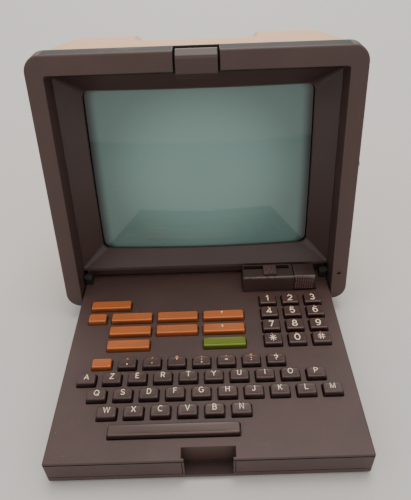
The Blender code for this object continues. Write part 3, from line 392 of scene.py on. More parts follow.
def circuit_board(name):
    """Green lacquered board: copper lanes under the lacquer, and tinned pads."""
    made = Finish(name)
    lanes = made.node("ShaderNodeTexWave", {"wave_type": "BANDS", "bands_direction": "X"},
                      {"Vector": made.place, "Scale": 60.0, "Distortion": 6.0, "Detail": 1.0})
    pads = made.node("ShaderNodeTexVoronoi", {}, {"Vector": made.place, "Scale": 190.0, "Randomness": 0.4})
    base = made.mix(made.step(lanes, 0.55, 0.6), (0.018, 0.075, 0.026), (0.040, 0.130, 0.048))
    dots = made.step(pads, 0.24, 0.18)
    base = made.mix(dots, base, (0.46, 0.45, 0.42))
    return made.set(Base_Color=base, Roughness=0.42 - dots * 0.12, Metallic=dots * 0.8,
                    Normal=made.bump(lanes + dots, 0.00003))


def windings(name, metal):
    made = Finish(name)
    turns = made.node("ShaderNodeTexWave", {"wave_type": "BANDS", "bands_direction": "Z"},
                      {"Vector": made.place, "Scale": 380.0, "Distortion": 0.6})
    base = made.mix(turns, shade(metal, 0.45), metal)
    return made.set(Base_Color=base, Metallic=0.85, Roughness=0.34 + turns * 0.1,
                    Normal=made.bump(turns, 0.0002))


def red_lens(name):
    made = Finish(name)
    depth = made.step(made.noise(1400.0, 2.0), 0.3, 0.7)
    base = made.mix(depth, (0.010, 0.002, 0.002), (0.030, 0.004, 0.003))
    return made.set(Base_Color=base, Roughness=0.3 + depth * 0.1)


def matt_floor(name, colour):
    made = Finish(name)
    base = made.mix(made.noise(3.0, 4.0), shade(colour, 0.985), shade(colour, 1.015))
    return made.set(Base_Color=base, Roughness=0.9)


def colour(name, description, default):
    return bpy.props.FloatVectorProperty(name=name, description=description, subtype="COLOR",
                                         default=default, min=0.0, max=1.0)


def length(name, description, default, low, high):
    return bpy.props.FloatProperty(name=name, description=description, unit="LENGTH",
                                   default=default, min=low, max=high)


class TerminalFinish(bpy.types.PropertyGroup):
    """Colours of the terminal's plastics, inks and glass."""

    brown: colour("Shell brown", "Frame, latch and keyboard case", linear((72, 52, 49)))
    key: colour("Key brown", "Letter keys, number keys and the space bar", linear((72, 52, 49)))
    dark: colour("Switch brown", "Switch block, slider, rocker and side wheel", linear((60, 44, 41)))
    mask: colour("Mask brown", "The deep mask round the screen", linear((66, 49, 47)))
    beige: colour("Housing beige", "The pale rear housing", linear((220, 176, 134)))
    orange: colour("Function orange", "Function keys", linear((172, 92, 44)))
    green: colour("Send green", "The send key", linear((96, 110, 21)))
    ink: colour("Legend cream", "Letters and figures on the keys", linear((255, 243, 214)))
    phosphor: colour("Phosphor", "The screen seen through its glass", linear((108, 136, 132)))
    backdrop: colour("Floor", "The plain pale floor", (0.62, 0.61, 0.60))


class TerminalSizes(bpy.types.PropertyGroup):
    """Small sizes that give the moulded pieces their edges and textures."""

    edge: length("Edge round", "Rounding of the shells' sharp edges", 0.0005, 0.0001, 0.001)
    cap_round: length("Cap round", "Rounding of the key caps' top edges", 0.0007, 0.0002, 0.001)
    dish: length("Cap dish", "How deep the key caps' tops are dished", 0.00015, 0.0, 0.0008)
    letter: length("Letter height", "Height of a capital letter on its cap", 0.0043, 0.002, 0.006)
    figure: length("Figure height", "Height of a figure on the number pad", 0.0059, 0.002, 0.007)
    ridge: length("Ridge height", "Ridges of the slider, rocker and wheel", 0.0004, 0.0001, 0.0008)


def makers(colours):
    """How each material of the set is made: its maker, the maker's values and its options."""
    fine = {"depth": 0.00003}
    return {
        "brown_plastic": (moulded, colours.brown, 0.50, {"dust": 0.5}),
        "mask_plastic": (moulded, colours.mask, 0.46, 700.0, 0.00008, {"dust": 0.3}),
        # The sides value paints shade: the caps' sides are painted darker
        "key_plastic": (moulded, colours.key, 0.34, {**fine, "dust": 0.2, "sides": 0.12}),
        "dark_brown_plastic": (moulded, colours.dark, 0.42, {"dust": 0.3}),
        # Painted highlight along the tower's front top edge
        "switch_plastic": (moulded, colours.dark, 0.38, {
            "dust": 0.5, "rubbed_edge": (stand.y + block_front + 0.0005, tower_top - 0.0005)}),
        # Painted shade: the notch's floor is painted darker
        "notch_plastic": (moulded, shade(colours.dark, 0.75), 0.85, {}),
        # Painted highlight: the ridges and pips are painted pale
        "rubbed_plastic": (moulded, shade(colours.dark, 4.0), 0.5, {}),
        "beige_plastic": (moulded, colours.beige, 0.55, {"depth": 0.00004, "spread": 0.025}),
        # Painted shade on these caps' sides as well
        "orange_plastic": (moulded, colours.orange, 0.36, {**fine, "sides": 0.4}),
        "green_plastic": (moulded, colours.green, 0.36, {**fine, "sides": 0.4}),
        # Painted highlights for the caps' front edges
        "key_edge": (moulded, shade(colours.key, 1.9), 0.3, {}),
        "orange_edge": (moulded, shade(colours.orange, 1.5), 0.3, {}),
        "green_edge": (moulded, shade(colours.green, 1.5), 0.3, {}),
        "latch_plastic": (moulded, shade(colours.brown, 0.8), 0.42, {}),
        # Black plastic, also painted as shade on the latch slot's walls and on the deck's ears and grooves
        "black_plastic": (moulded, (0.009, 0.008, 0.008), 0.65, {}),
        "foot_rubber": (moulded, (0.012, 0.011, 0.011), 0.85, 500.0, 0.0001, {}),
        "ferrite": (moulded, (0.040, 0.040, 0.043), 0.6, 600.0, 0.0001, {}),
        "tube_glass": (screen_glass, colours.phosphor, {}),
        "funnel_coating": (plain_glass, {}),
        "legend_cream": (print_ink, colours.ink, {}),
        "legend_orange": (print_ink, shade(colours.orange, 1.6), {}),
        "steel": (brushed_steel, {}),
        "circuit_board": (circuit_board, {}),
        "copper_winding": (windings, (0.42, 0.16, 0.07), {}),
        "lamp_lens": (red_lens, {}),
        "pale_floor": (matt_floor, colours.backdrop, {}),
    }


materials = {}


def finish(name):
    """A material of the set, made the first time that a piece asks for it."""
    if name not in materials:
        maker, *values, options = makers(bpy.context.scene.terminal_finish)[name]
        materials[name] = maker(name, *values, **options)
    return materials[name]


# Meshes

def near(first, second):
    return abs(first - second) < hair


def add_box(bm, low, high):
    low, high = Vector(low), Vector(high)
    matrix = Matrix.Translation((low + high) / 2) @ Matrix.Diagonal((*(high - low), 1.0))
    return bmesh.ops.create_cube(bm, size=1, matrix=matrix)["verts"]


def box(low, high):
    bm = bmesh.new()
    add_box(bm, low, high)
    return bm


def turn_to(axis):
    """Turns a body's z axis to the one named."""
    if axis == "Z":
        return Matrix.Identity(4)
    return Matrix.Rotation(math.pi / 2, 4, "Y") if axis == "X" else Matrix.Rotation(-math.pi / 2, 4, "X")


def add_cylinder(bm, centre, radius, length, axis="Z", sides=48):
    bmesh.ops.create_cone(bm, cap_ends=True, segments=sides, radius1=radius, radius2=radius, depth=length,
                          matrix=Matrix.Translation(centre) @ turn_to(axis))


def cylinder(*values, **more):
    bm = bmesh.new()
    add_cylinder(bm, *values, **more)
    return bm


def bevel_edges(bm, wanted, width, segments):
    """Rounds the edges that are wanted, each asked about by its two corners."""
    edges = [edge for edge in bm.edges if wanted(*(vert.co for vert in edge.verts))]
    bmesh.ops.bevel(bm, geom=edges, offset=width, segments=segments, profile=0.5, affect="EDGES")


def loft(loops, capped=True):
    """A body through closed loops of equal length."""
    bm = bmesh.new()
    rings = [[bm.verts.new(point) for point in loop] for loop in loops]
    for ring, following in zip(rings, rings[1:]):
        for index in range(len(ring)):
            after = (index + 1) % len(ring)
            bm.faces.new((ring[index], ring[after], following[after], following[index]))
    if capped:
        bm.faces.new(rings[0][::-1])
        bm.faces.new(rings[-1])
    return bm


def turned(profile, sides, centre, axis="Z"):
    """A closed body of revolution from radii and heights, its axis through centre."""
    matrix = Matrix.Translation(centre) @ turn_to(axis)
    angles = [2 * math.pi * step / sides for step in range(sides)]
    return loft([[matrix @ Vector((radius * math.cos(angle), radius * math.sin(angle), height))
                  for angle in angles] for radius, height in profile])


def prism_x(outline, left, right):
    """An outline in y and z, carried across from left to right."""
    return loft([[(x, y, z) for y, z in outline] for x in (left, right)])


def bow(centre, reach, start, end, steps, turn=math.radians(1)):
    """Points round part of an ellipse, its angles counted in turn."""
    angles = [turn * (start + (end - start) * step / steps) for step in range(steps + 1)]
    return [(centre[0] + reach[0] * math.cos(angle), centre[1] + reach[1] * math.sin(angle))
            for angle in angles]


def arc(centre, radius, start, end, steps):
    """Points round part of a circle, its angles in quarter turns."""
    return bow(centre, (radius, radius), start, end, steps, math.pi / 2)


def rounded_rectangle(half_x, low, high, radius, corner, straight):
    """Points round a rectangle with rounded corners: as many for any size."""
    places = [(half_x - radius, low + radius), (half_x - radius, high - radius),
              (radius - half_x, high - radius), (radius - half_x, low + radius)]
    arcs = [arc(place, radius, index - 1, index, corner) for index, place in enumerate(places)]
    points = []
    for curve, following in zip(arcs, arcs[1:] + arcs[:1]):
        points += curve
        (x0, z0), (x1, z1) = curve[-1], following[0]
        for share in (step / straight for step in range(1, straight)):
            points.append((x0 + (x1 - x0) * share, z0 + (z1 - z0) * share))
    return points


def linked(name, data):
    made = bpy.data.objects.new(name, data)
    bpy.context.scene.collection.objects.link(made)
    return made


def solid(name, bm, place=on_stand):
    """An object from a bmesh, which is used up."""
    bmesh.ops.transform(bm, matrix=place, verts=bm.verts)
    bmesh.ops.recalc_face_normals(bm, faces=bm.faces)
    mesh = bpy.data.meshes.new(name)
    bm.to_mesh(mesh)
    bm.free()
    return linked(name, mesh)


def settle(made):
    """The object's modifiers become its plain mesh."""
    graph = bpy.context.evaluated_depsgraph_get()
    mesh = bpy.data.meshes.new_from_object(made.evaluated_get(graph))
    made.modifiers.clear()
    old, made.data = made.data, mesh
    bpy.data.meshes.remove(old)


def shape(made, operation, tool):
    """Cuts the tool from the object, or joins it on. The tool is used up."""
    modifier = made.modifiers.new("shape", "BOOLEAN")
    modifier.operation = operation
    modifier.solver = "EXACT"
    modifier.object = tool
    settle(made)
    bpy.data.objects.remove(tool, do_unlink=True)


def cut(made, bm, place=on_stand):
    shape(made, "DIFFERENCE", solid(f"{made.name}_tool", bm, place))


def weld(made, bm, place=on_stand):
    shape(made, "UNION", solid(f"{made.name}_tool", bm, place))


def soften(made, width, segments=3, angle=42):
    """Rounds the sharp edges and shades the rest smooth."""
    bm = bmesh.new()
    bm.from_mesh(made.data)
    bmesh.ops.remove_doubles(bm, verts=bm.verts, dist=same_place)
    bmesh.ops.dissolve_limit(bm, angle_limit=math.radians(0.4), verts=bm.verts, edges=bm.edges)
    bm.to_mesh(made.data)
    bm.free()
    made.data.shade_smooth()
    modifier = made.modifiers.new("edges", "BEVEL")
    modifier.width = width
    modifier.segments = segments
    modifier.limit_method = "ANGLE"
    modifier.angle_limit = math.radians(angle)
    modifier.harden_normals = True
    modifier.use_clamp_overlap = True
    settle(made)


def smooth(made, angle=34):
    """Smooth shading over rounds and curves, with flat faces kept flat."""
    made.data.shade_smooth()
    made.data.set_sharp_from_angle(angle=math.radians(angle))
    modifier = made.modifiers.new("normals", "WEIGHTED_NORMAL")
    modifier.keep_sharp = True
    modifier.weight = 100
    settle(made)


def wear(made, *names):
    """Gives the piece its materials, by name."""
    made.data.materials.clear()
    for name in names:
        made.data.materials.append(finish(name))


def paint(made, wanted, usual, other):
    """Gives the faces whose middle is wanted the other material."""
    wear(made, usual, other)
    for face in made.data.polygons:
        face.material_index = int(wanted(face.center))


def mount(made, body, slot, node=None, *names):
    """The piece rides on its body and stands for its CAD node."""
    if names:
        wear(made, *names)
    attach(made, body)
    if node:
        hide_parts(node)


def copied(node, name):
    """A new object with a CAD node's shape, its corners merged."""
    bm = bmesh.new()
    bm.from_mesh(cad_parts[node].data)
    bmesh.ops.remove_doubles(bm, verts=bm.verts, dist=same_place)
    mesh = bpy.data.meshes.new(name)
    bm.to_mesh(mesh)
    bm.free()
    return linked(name, mesh)


def join(first, *others):
    """The other objects' meshes go into the first one's, with their materials."""
    bm = bmesh.new()
    bm.from_mesh(first.data)
    for other in others:
        start = len(first.data.materials)
        for material in other.data.materials:
            first.data.materials.append(material)
        known = set(bm.faces)
        bm.from_mesh(other.data)
        for face in bm.faces:
            if face not in known:
                face.material_index += start
        bpy.data.objects.remove(other, do_unlink=True)
    bm.to_mesh(first.data)
    bm.free()


# Geometry Nodes

def unit_tree(name, inputs, scatter):
    """Copies of a unit: the inputs, the unit's shape, its scattering, real meshes and their material."""
    tree = bpy.data.node_groups.new(name, "GeometryNodeTree")
    nodes, link = tree.nodes, tree.links.new
    sockets = (("Geometry", "Geometry"), ("Unit", "Object"), *inputs, ("Material", "Material"))
    for label, kind in sockets:
        tree.interface.new_socket(label, in_out="INPUT", socket_type=f"NodeSocket{kind}")
    tree.interface.new_socket("Geometry", in_out="OUTPUT", socket_type="NodeSocketGeometry")
    start, end = nodes.new("NodeGroupInput"), nodes.new("NodeGroupOutput")
    unit = nodes.new("GeometryNodeObjectInfo")
    link(start.outputs["Unit"], unit.inputs["Object"])
    geometry = scatter(nodes, link, start.outputs, unit.outputs["Geometry"])
    real = nodes.new("GeometryNodeRealizeInstances")
    link(geometry, real.inputs["Geometry"])
    material = nodes.new("GeometryNodeSetMaterial")
    link(real.outputs["Geometry"], material.inputs["Geometry"])
    link(start.outputs["Material"], material.inputs["Material"])
    link(material.outputs["Geometry"], end.inputs["Geometry"])
    return tree


def in_grid(nodes, link, start, geometry):
    """Rows and columns in x and y, for caps, ridges and pips."""
    for count, pitch, axis in (("Columns", "Column Pitch", "X"), ("Rows", "Row Pitch", "Y")):
        line = nodes.new("GeometryNodeMeshLine")
        offset = nodes.new("ShaderNodeCombineXYZ")
        link(start[pitch], offset.inputs[axis])
        link(offset.outputs[0], line.inputs["Offset"])
        link(start[count], line.inputs["Count"])
        place = nodes.new("GeometryNodeInstanceOnPoints")
        link(line.outputs["Mesh"], place.inputs["Points"])
        link(geometry, place.inputs["Instance"])
        geometry = place.outputs["Instances"]
    return geometry


def in_ring(nodes, link, start, geometry):
    """Round the z axis, each turned outward, for the wheel's flutes and the socket's contacts."""
    circle = nodes.new("GeometryNodeMeshCircle")
    link(start["Count"], circle.inputs["Vertices"])
    link(start["Radius"], circle.inputs["Radius"])
    position = nodes.new("GeometryNodeInputPosition")
    turn = nodes.new("FunctionNodeAlignRotationToVector")
    turn.axis = "X"
    link(position.outputs[0], turn.inputs["Vector"])
    place = nodes.new("GeometryNodeInstanceOnPoints")
    link(circle.outputs["Mesh"], place.inputs["Points"])
    link(geometry, place.inputs["Instance"])
    link(turn.outputs[0], place.inputs["Rotation"])
    return place.outputs["Instances"]


tree_plans = {
    "grid": (in_grid, ("Columns", "Int"), ("Rows", "Int"), ("Column Pitch", "Float"), ("Row Pitch", "Float")),
    "ring": (in_ring, ("Count", "Int"), ("Radius", "Float")),
}


def repeated(kind, unit, place, **values):
    """A plain mesh object of the unit repeated by one of the trees. The unit is used up."""
    scatter, *inputs = tree_plans[kind]
    tree = bpy.data.node_groups.get(f"unit_{kind}") or unit_tree(f"unit_{kind}", inputs, scatter)
    made = solid(f"{unit.name}_{kind}", bmesh.new(), as_it_is)
    modifier = made.modifiers.new("copies", "NODES")
    modifier.node_group = tree
    sockets = {item.name: item.identifier for item in tree.interface.items_tree if item.in_out == "INPUT"}
    modifier[sockets["Unit"]] = unit
    for name, value in values.items():
        modifier[sockets[name.replace("_", " ")]] = value
    settle(made)
    made.data.transform(place)
    bpy.data.objects.remove(unit, do_unlink=True)
    return made


# Signs. Each stroke of a sign is a run of points x,y in hundredths of a capital's height, from the
# middle of its foot. A run can hold arcs: x,y and two radii, then from which angle to which, in
# steps. A sign after "turned" is another one turned upside down.

arc_steps = 14
sign_strokes = {
    "A": "-39,0 0,100 39,0 | -25,33 25,33",
    "B": "-28,0 -28,100 2,76.5,23,23.5,90,-90 -28,53 | 2,26.5,28,26.5,90,-90 -28,0",
    "C": "0,50,38,50,48,312,22",
    "D": "-28,0 -28,100 -2,50,34,50,90,-90 -28,0",
    "E": "27,100 -26,100 -26,0 29,0 | -26,53 22,53",
    "F": "27,100 -24,100 -24,0 | -24,52 20,52",
    "G": "0,50,39,50,48,340,22 38,46 6,46",
    "H": "-30,0 -30,100 | 30,0 30,100 | -30,53 30,53",
    "I": "0,0 0,100",
    "J": "18,100 -4,25,22,25,0,-180",
    "K": "-28,0 -28,100 | 28,100 -28,38 | -6,60 32,0",
    "L": "-24,100 -24,0 27,0",
    "M": "-38,0 -38,100 0,8 38,100 38,0",
    "N": "-30,0 -30,100 30,0 30,100",
    "O": "0,50,40,50,90,450,28",
    "P": "-28,0 -28,100 4,73,25,27,90,-90 -28,46",
    "Q": "0,50,40,50,90,450,28 | 8,27 40,-5",
    "R": "-28,0 -28,100 4,73,25,27,90,-90 -28,46 | 2,46 29,0",
    "S": "0,74.5,27,25.5,25,270 0,24.5,31,24.5,90,-155",
    "T": "-35,100 35,100 | 0,0 0,100",
    "U": "-30,100 0,32,30,32,180,360 30,100",
    "V": "-36,100 0,0 36,100",
    "W": "-52,100 -26,0 0,100 26,0 52,100",
    "X": "-34,0 34,100 | -34,100 34,0",
    "Y": "-36,100 0,46 36,100 | 0,46 0,0",
    "Z": "-32,100 32,100 -34,0 34,0",
    "0": "0,50,33,50,90,450,24",
    "1": "-20,78 5,100 5,0",
    "2": "0,70,30,30,165,-38 -31,0 33,0",
    "3": "-2,76,26,24,150,-90 -2,26,31,26,90,-150",
    "4": "14,0 14,100 -34,26 34,26",
    "5": "27,100 -20,100 -27,48 0,32,31,32,130,-145",
    "6": "0,31,30,31,90,450,20 | 7,40,37,60,60,190",
    "7": "-30,100 31,100 -6,0",
    "8": "0,76,25,24,90,450,20 | 0,26,31,26,90,450,20",
    "9": "turned 6",
    "*": "-50,50 50,50 | -35,10 35,90 | 0,-6 0,106 | 35,10 -35,90",
    "#": "-18,0 -18,100 | 18,0 18,100 | -48,32 48,32 | -48,68 48,68",
    ",": "4,12 -6,-18",
    ".": "0,2 0,15",
    "'": "2,100 -2,68",
    ";": "0,50 0,64 | 4,12 -6,-18",
    ":": "0,2 0,15 | 0,52 0,66",
    "-": "-26,40 26,40",
    "?": "0,72,27,26,170,-50 0,40 0,28 | 0,2 0,15",
    "!": "0,100 0,32 | 0,2 0,15",
    '"': "-12,100 -12,68 | 12,100 12,68",
    "$": "0,74.5,27,25.5,25,270 0,24.5,31,24.5,90,-155 | 0,115 0,-15",
    "%": "30,100 -30,0 | -24,78,12,16,90,450 | 24,22,12,16,90,450",
    "&": "0,76,20,24,90,450 | -4,26,26,26,90,400",
    "(": "20,50,28,60,130,230",
    ")": "turned (",
    "[": "12,105 -12,105 -12,-5 12,-5",
    "]": "turned [",
    "^": "-25,65 0,100 25,65",
    "<": "25,80 -25,45 25,10",
    ">": "turned <",
    "@": "0,50,42,50,-40,290 | 0,50,18,22,90,450",
    "+": "0,80 0,10 | -34,45 34,45",
    "=": "-30,60 30,60 | -30,30 30,30",
    "/": "22,100 -22,0",
    "up": "0,0 0,100 | -28,66 0,100 28,66",
    "down": "turned up",
}


def sign_shape(sign):
    """The points of each stroke, for a capital of height 1 with its foot at 0."""
    text = sign_strokes[sign]
    if text.startswith("turned "):
        return [[(-x, 1 - y) for x, y in stroke] for stroke in sign_shape(text.split()[1])]
    strokes = []
    for run in text.split(" | "):
        points = []
        for part in run.split():
            x, y, *more = (float(number) for number in part.split(","))
            if more:
                reach_x, reach_y, start, end, steps = more + [arc_steps] * (5 - len(more))
                curve = bow((x / 100, y / 100), (reach_x / 100, reach_y / 100), start, end, int(steps))
                meets = points and math.dist(points[-1], curve[0]) < hair
                points += curve[1:] if meets else curve
            else:
                points.append((x / 100, y / 100))
        strokes.append(points)
    return strokes


def add_stroke(bm, points, half_width, rest_on):
    """A printed stroke: a thin band along the points, mitred where it turns."""
    points = [Vector(point) for point in points]
    closed = (points[0] - points[-1]).length < half_width / 4
    if closed:
        points.pop()
    count = len(points)
    rings = []
    for index, point in enumerate(points):
        before = points[index - 1] if closed or index else point
        after = points[(index + 1) % count] if closed or index < count - 1 else point
        first, second = (point - before).normalized(), (after - point).normalized()
        across = Vector((-(first + second).y, (first + second).x)).normalized()
        reach = half_width
        if first.length and second.length:
            reach /= max(0.45, across.dot(Vector((-second.y, second.x))))
        left, right = point + across * reach, point - across * reach
        height = rest_on(*point)
        rings.append([bm.verts.new((*corner, height + lift)) for corner, lift in (
            (left, print_proud), (right, print_proud), (right, -print_sunk), (left, -print_sunk))])
    for index in range(count if closed else count - 1):
        here, there = rings[index], rings[(index + 1) % count]
        for side in range(4):
            bm.faces.new((here[side], here[(side + 1) % 4], there[(side + 1) % 4], there[side]))
    if not closed:
        bm.faces.new(rings[0][::-1])
        bm.faces.new(rings[-1])


def legend(name, sign, height, centre, ink, rest_on, weight):
    """One printed sign, its middle at a point of the deck."""
    bm = bmesh.new()
    for stroke in sign_shape(sign):
        placed = [(centre[0] + x * height, centre[1] + (y - 0.5) * height) for x, y in stroke]
        add_stroke(bm, placed, height * weight / 2, rest_on)
    made = solid(name, bm)
    wear(made, ink)
    return made


# Pieces

def runs_back(a, b):
    """Whether an edge between two corners runs in y."""
    return near(a.x, b.x) and not near(a.y, b.y)


def front_frame_piece(sizes):
    """The leaning frame: its rounded face, the collar behind it, its opening, slots and holes."""
    bm = box((-half_frame, 0, frame_foot), (half_frame, frame_skirt, frame_height))
    rise = frame_skirt * math.tan(face_lean) - crown_fall
    for vert in bm.verts:
        if vert.co.y > 0 and near(vert.co.z, frame_height):
            vert.co.z += rise
    bevel_edges(bm, lambda a, b: runs_back(a, b) and min(a.z, b.z) > opening_top, top_radius, 18)
    bevel_edges(bm, lambda a, b: runs_back(a, b) and max(a.z, b.z) < boss_low, foot_radius, 16)
    bevel_edges(bm, lambda a, b: near(a.y, 0) and near(b.y, 0), face_round, 6)
    made = solid("front_frame_shell", bm, on_face)
    for reach, low, high in (
            (half_opening + frame_wall, frame_foot + foot_radius, opening_top + frame_wall),
            (half_opening + boss_reach, boss_low, boss_high)):
        weld(made, box((-reach, frame_wall, low), (reach, collar_depth, high)), on_face)

    bm = box((-half_opening, -overrun, frame_foot - overrun),
             (half_opening, collar_depth + overrun, opening_top))
    for vert in bm.verts:
        if vert.co.y > 0 and vert.co.z > boss_high:
            vert.co.z -= opening_drop * (collar_depth + overrun) / collar_depth
    bevel_edges(bm, lambda a, b: runs_back(a, b) and min(a.z, b.z) > boss_high, opening_radius, 8)
    cut(made, bm, on_face)
    cut(made, box((-latch_slot / 2, -overrun, latch_foot - overrun),
                  (latch_slot / 2, latch_slot_depth, frame_height + 10 * overrun)), on_face)

    bm = bmesh.new()
    depth = hinge_y * math.cos(face_lean) - hinge_z * math.sin(face_lean)
    height = hinge_y * math.sin(face_lean) + hinge_z * math.cos(face_lean)
    for side in (-1, 1):
        add_cylinder(bm, (side * (half_opening + pin_inset), depth, height), pin_radius, pin_hole, "X")
    cut(made, bm, on_face)
    _, behind, up = wheel_place
    cut(made, box((half_frame - wheel_slot_depth, behind - wheel_slot[0], up - wheel_slot[1]),
                  (half_frame + overrun, behind + wheel_slot[0], up + wheel_slot[1])), on_face)
    cut(made, cylinder(lamp_place, lamp_hole, lamp_hole_length, "Y"), on_face)
    soften(made, sizes.edge)
    back_on_face = on_face.inverted()

    def in_latch_slot(centre):
        x, y, z = back_on_face @ centre
        return abs(x) < latch_slot / 2 + hair and y > latch_slot_lip and z > latch_foot + 5 * hair

    # Painted shade: the walls of the latch's slot are painted black
    paint(made, in_latch_slot, "brown_plastic", "black_plastic")
    mount(made, "terminal", "brown_plastic", "front_frame")


def latch_piece(sizes):
    outline = [(latch_front, latch_foot + 0.004), (latch_front, latch_head - 0.0058),
               (latch_front + 0.0012, latch_head - 0.0035), (latch_front + 0.008, latch_head),
               (latch_back, latch_head), (latch_back, latch_foot), (latch_front + 0.004, latch_foot)]
    made = solid("latch_button", prism_x(outline, -latch_half, latch_half), on_face)
    middle = (latch_foot + latch_head) / 2
    cut(made, cylinder((0, latch_bore_middle, middle), latch_bore, latch_bore_length, "Y"), on_face)
    soften(made, sizes.edge * 1.1, 4, 20)
    mount(made, "latch", "brown_plastic", "latch", "latch_plastic")


def glass_front(x, z):
    """How far behind the face the bowed glass is."""
    return glass_depth + (x * x + (z - screen_middle) ** 2) / (2 * glass_curve)


def mask_piece():
    """The mask: from the frame's collar, down four long slopes, to the bowed lip at the glass."""
    head = opening_top - opening_drop

    def ring(half_x, low, high, radius, depth_at):
        return [(x, depth_at(x, z), z) for x, z in rounded_rectangle(half_x, low, high, radius, 8, 28)]

    def flat(x, z):
        return mask_depth

    def lip(x, z):
        return glass_front(x, z) - mask_wall - glass_gap

    def screen_ring(wider, turn, depth_at):
        return ring(half_screen + wider, screen_foot - wider, screen_head + wider, screen_radius + turn,
                    depth_at)

    made = solid("screen_mask_shell", loft([
        ring(half_opening + mask_margin, mask_foot, head + mask_margin, opening_radius, flat),
        ring(half_opening, mask_foot + mask_margin, head, opening_radius, flat),
        screen_ring(0.0009, 0.0006, lip),
        screen_ring(0.0002, 0.0, lip),
        screen_ring(0.0, 0.0, lambda x, z: lip(x, z) + 0.0007),
    ], capped=False), on_face)
    wall = made.modifiers.new("wall", "SOLIDIFY")
    wall.thickness = mask_wall
    wall.offset = -1.0
    wall.use_even_offset = False
    settle(made)
    join(made, solid("mask_shelf", box(
        (-half_opening, mask_depth + mask_wall / 3, mask_foot + mask_shelf[0]),
        (half_opening, mask_shelf_back, mask_foot + mask_shelf[1])), on_face))
    smooth(made, 24)
    mount(made, "terminal", "dark_brown_plastic", "screen_mask", "mask_plastic")


def superellipse(half_x, half_z, depth_at, power):
    """Points round the screen's middle: an ellipse at power 2, and squarer above."""
    points = []
    for step in range(tube_sides):
        angle = 2 * math.pi * step / tube_sides
        cosine, sine = math.cos(angle), math.sin(angle)
        reach = (abs(cosine) ** power + abs(sine) ** power) ** (-1 / power)
        x, z = half_x * reach * cosine, screen_middle + half_z * reach * sine
        points.append((x, depth_at(x, z), z))
    return points


def tube_piece():
    """The picture tube: its bowed glass in front, then its skirt and funnel down to the neck."""
    half_x, half_z = glass_half
    loops = [superellipse(half_x * step / tube_rings, half_z * step / tube_rings, glass_front,
                          glass_squareness) for step in range(1, tube_rings + 1)]
    loops.append(superellipse(half_x, half_z, lambda x, z: glass_front(x, z) + glass_edge, edge_squareness))
    for depth_share, size_share, power in tube_shares:
        depth = glass_depth + tube_length * depth_share
        loops.append(superellipse(neck_radius + (half_x - neck_radius) * size_share,
                                  neck_radius + (half_z - neck_radius) * size_share,
                                  lambda x, z: depth, power))
    made = solid("picture_tube_bulb", loft(loops), on_face)
    smooth(made, 50)
    wear(made, "tube_glass", "funnel_coating")
    for face in made.data.polygons:
        face.material_index = int(min(face.vertices) >= tube_rings * tube_sides)
    mount(made, "terminal", "tube_glass", "picture_tube")


def housing_piece():
    """The pale rear housing, with its hand recess and its vents."""
    made = copied("rear_housing", "rear_housing_shell")
    soften(made, shell_edge, 2, 30)
    smooth(made, 50)
    mount(made, "terminal", "beige_plastic", "rear_housing", "beige_plastic")


def base_tray_piece():
    made = copied("base_tray", "base_tray_shell")
    soften(made, shell_edge, 3, 40)
    mount(made, "terminal", "brown_plastic", "base_tray", "brown_plastic")


def foot_piece(node):
    """A turned rubber foot with a rounded sole."""
    low, high = corners(node)
    radius, tall = (high.x - low.x) / 2, high.z - low.z
    sole = radius - foot_round
    profile = [(radius * 0.55, 0.0003), (radius * 0.6, 0.0), (sole, 0.0)]
    profile += [(sole + y, foot_round + z) for y, z in arc((0, 0), foot_round, -1, 0, 5)]
    profile += [(radius, tall - foot_chamfer), (radius - foot_chamfer, tall)]
    centre = ((low.x + high.x) / 2, (low.y + high.y) / 2, low.z)
    made = solid(f"{node}_pad", turned(profile, 56, centre), as_it_is)
    smooth(made)
    mount(made, "terminal", "foot_rubber", node, "foot_rubber")


def back_middle(node):
    """The middle of a rear fitting's outer face, its half width and its length."""
    low, high = corners(node)
    return Vector(((low.x + high.x) / 2, high.y, (low.z + high.z) / 2)), (high.x - low.x) / 2, high.y - low.y


def socket_piece():
    """The round data socket and its ring of contacts."""
    centre, flange, long = back_middle("data_socket")
    profile = [(socket_barrel, -long), (socket_barrel, -0.001), (flange, -0.001), (flange, -0.0004),
               (flange - 0.0004, 0.0), (0.0069, 0.0), (0.0066, -0.0003), (0.0066, -0.006)]
    made = solid("data_socket_body", turned(profile, 64, centre, "Y"), as_it_is)
    smooth(made)
    wear(made, "black_plastic")
    unit = solid("contact", cylinder((0, 0, 0), contact_radius, contact_length, sides=16), as_it_is)
    smooth(unit)
    place = Matrix.Translation(centre + Vector((0, -contact_depth, 0))) @ turn_to("Y")
    pins = repeated("ring", unit, place, Count=5, Radius=contact_ring, Material=finish("steel"))
    pins.name = "data_socket_contacts"
    mount(made, "terminal", "black_plastic", "data_socket")
    mount(pins, "terminal", "steel")


def gland_piece(node, flange, barrel, bore):
    """A turned rubber gland with its bore left open."""
    centre, _, long = back_middle(node)
    profile = [(bore, -long), (barrel, -long), (barrel, -0.0012), (flange - 0.0002, -0.0010),
               (flange, -0.0007), (flange - 0.0001, -0.0003), (flange - 0.0004, 0.0),
               (bore + 0.0005, 0.0), (bore + 0.0001, -0.0002), (bore, -0.0006), (bore, -long)]
    bm = turned(profile, 56, centre, "Y")
    bmesh.ops.remove_doubles(bm, verts=bm.verts, dist=0.000002)
    caps = [face for face in bm.faces if len(face.verts) > 8]
    bmesh.ops.delete(bm, geom=caps, context="FACES_ONLY")
    made = solid(f"{node}_grommet", bm, as_it_is)
    smooth(made)
    mount(made, "terminal", "foot_rubber", node, "foot_rubber")


def level(outline, *heights):
    """A closed body with the same outline in x and y at each height."""
    return loft([[(x, y, z) for x, y in outline] for z in heights])


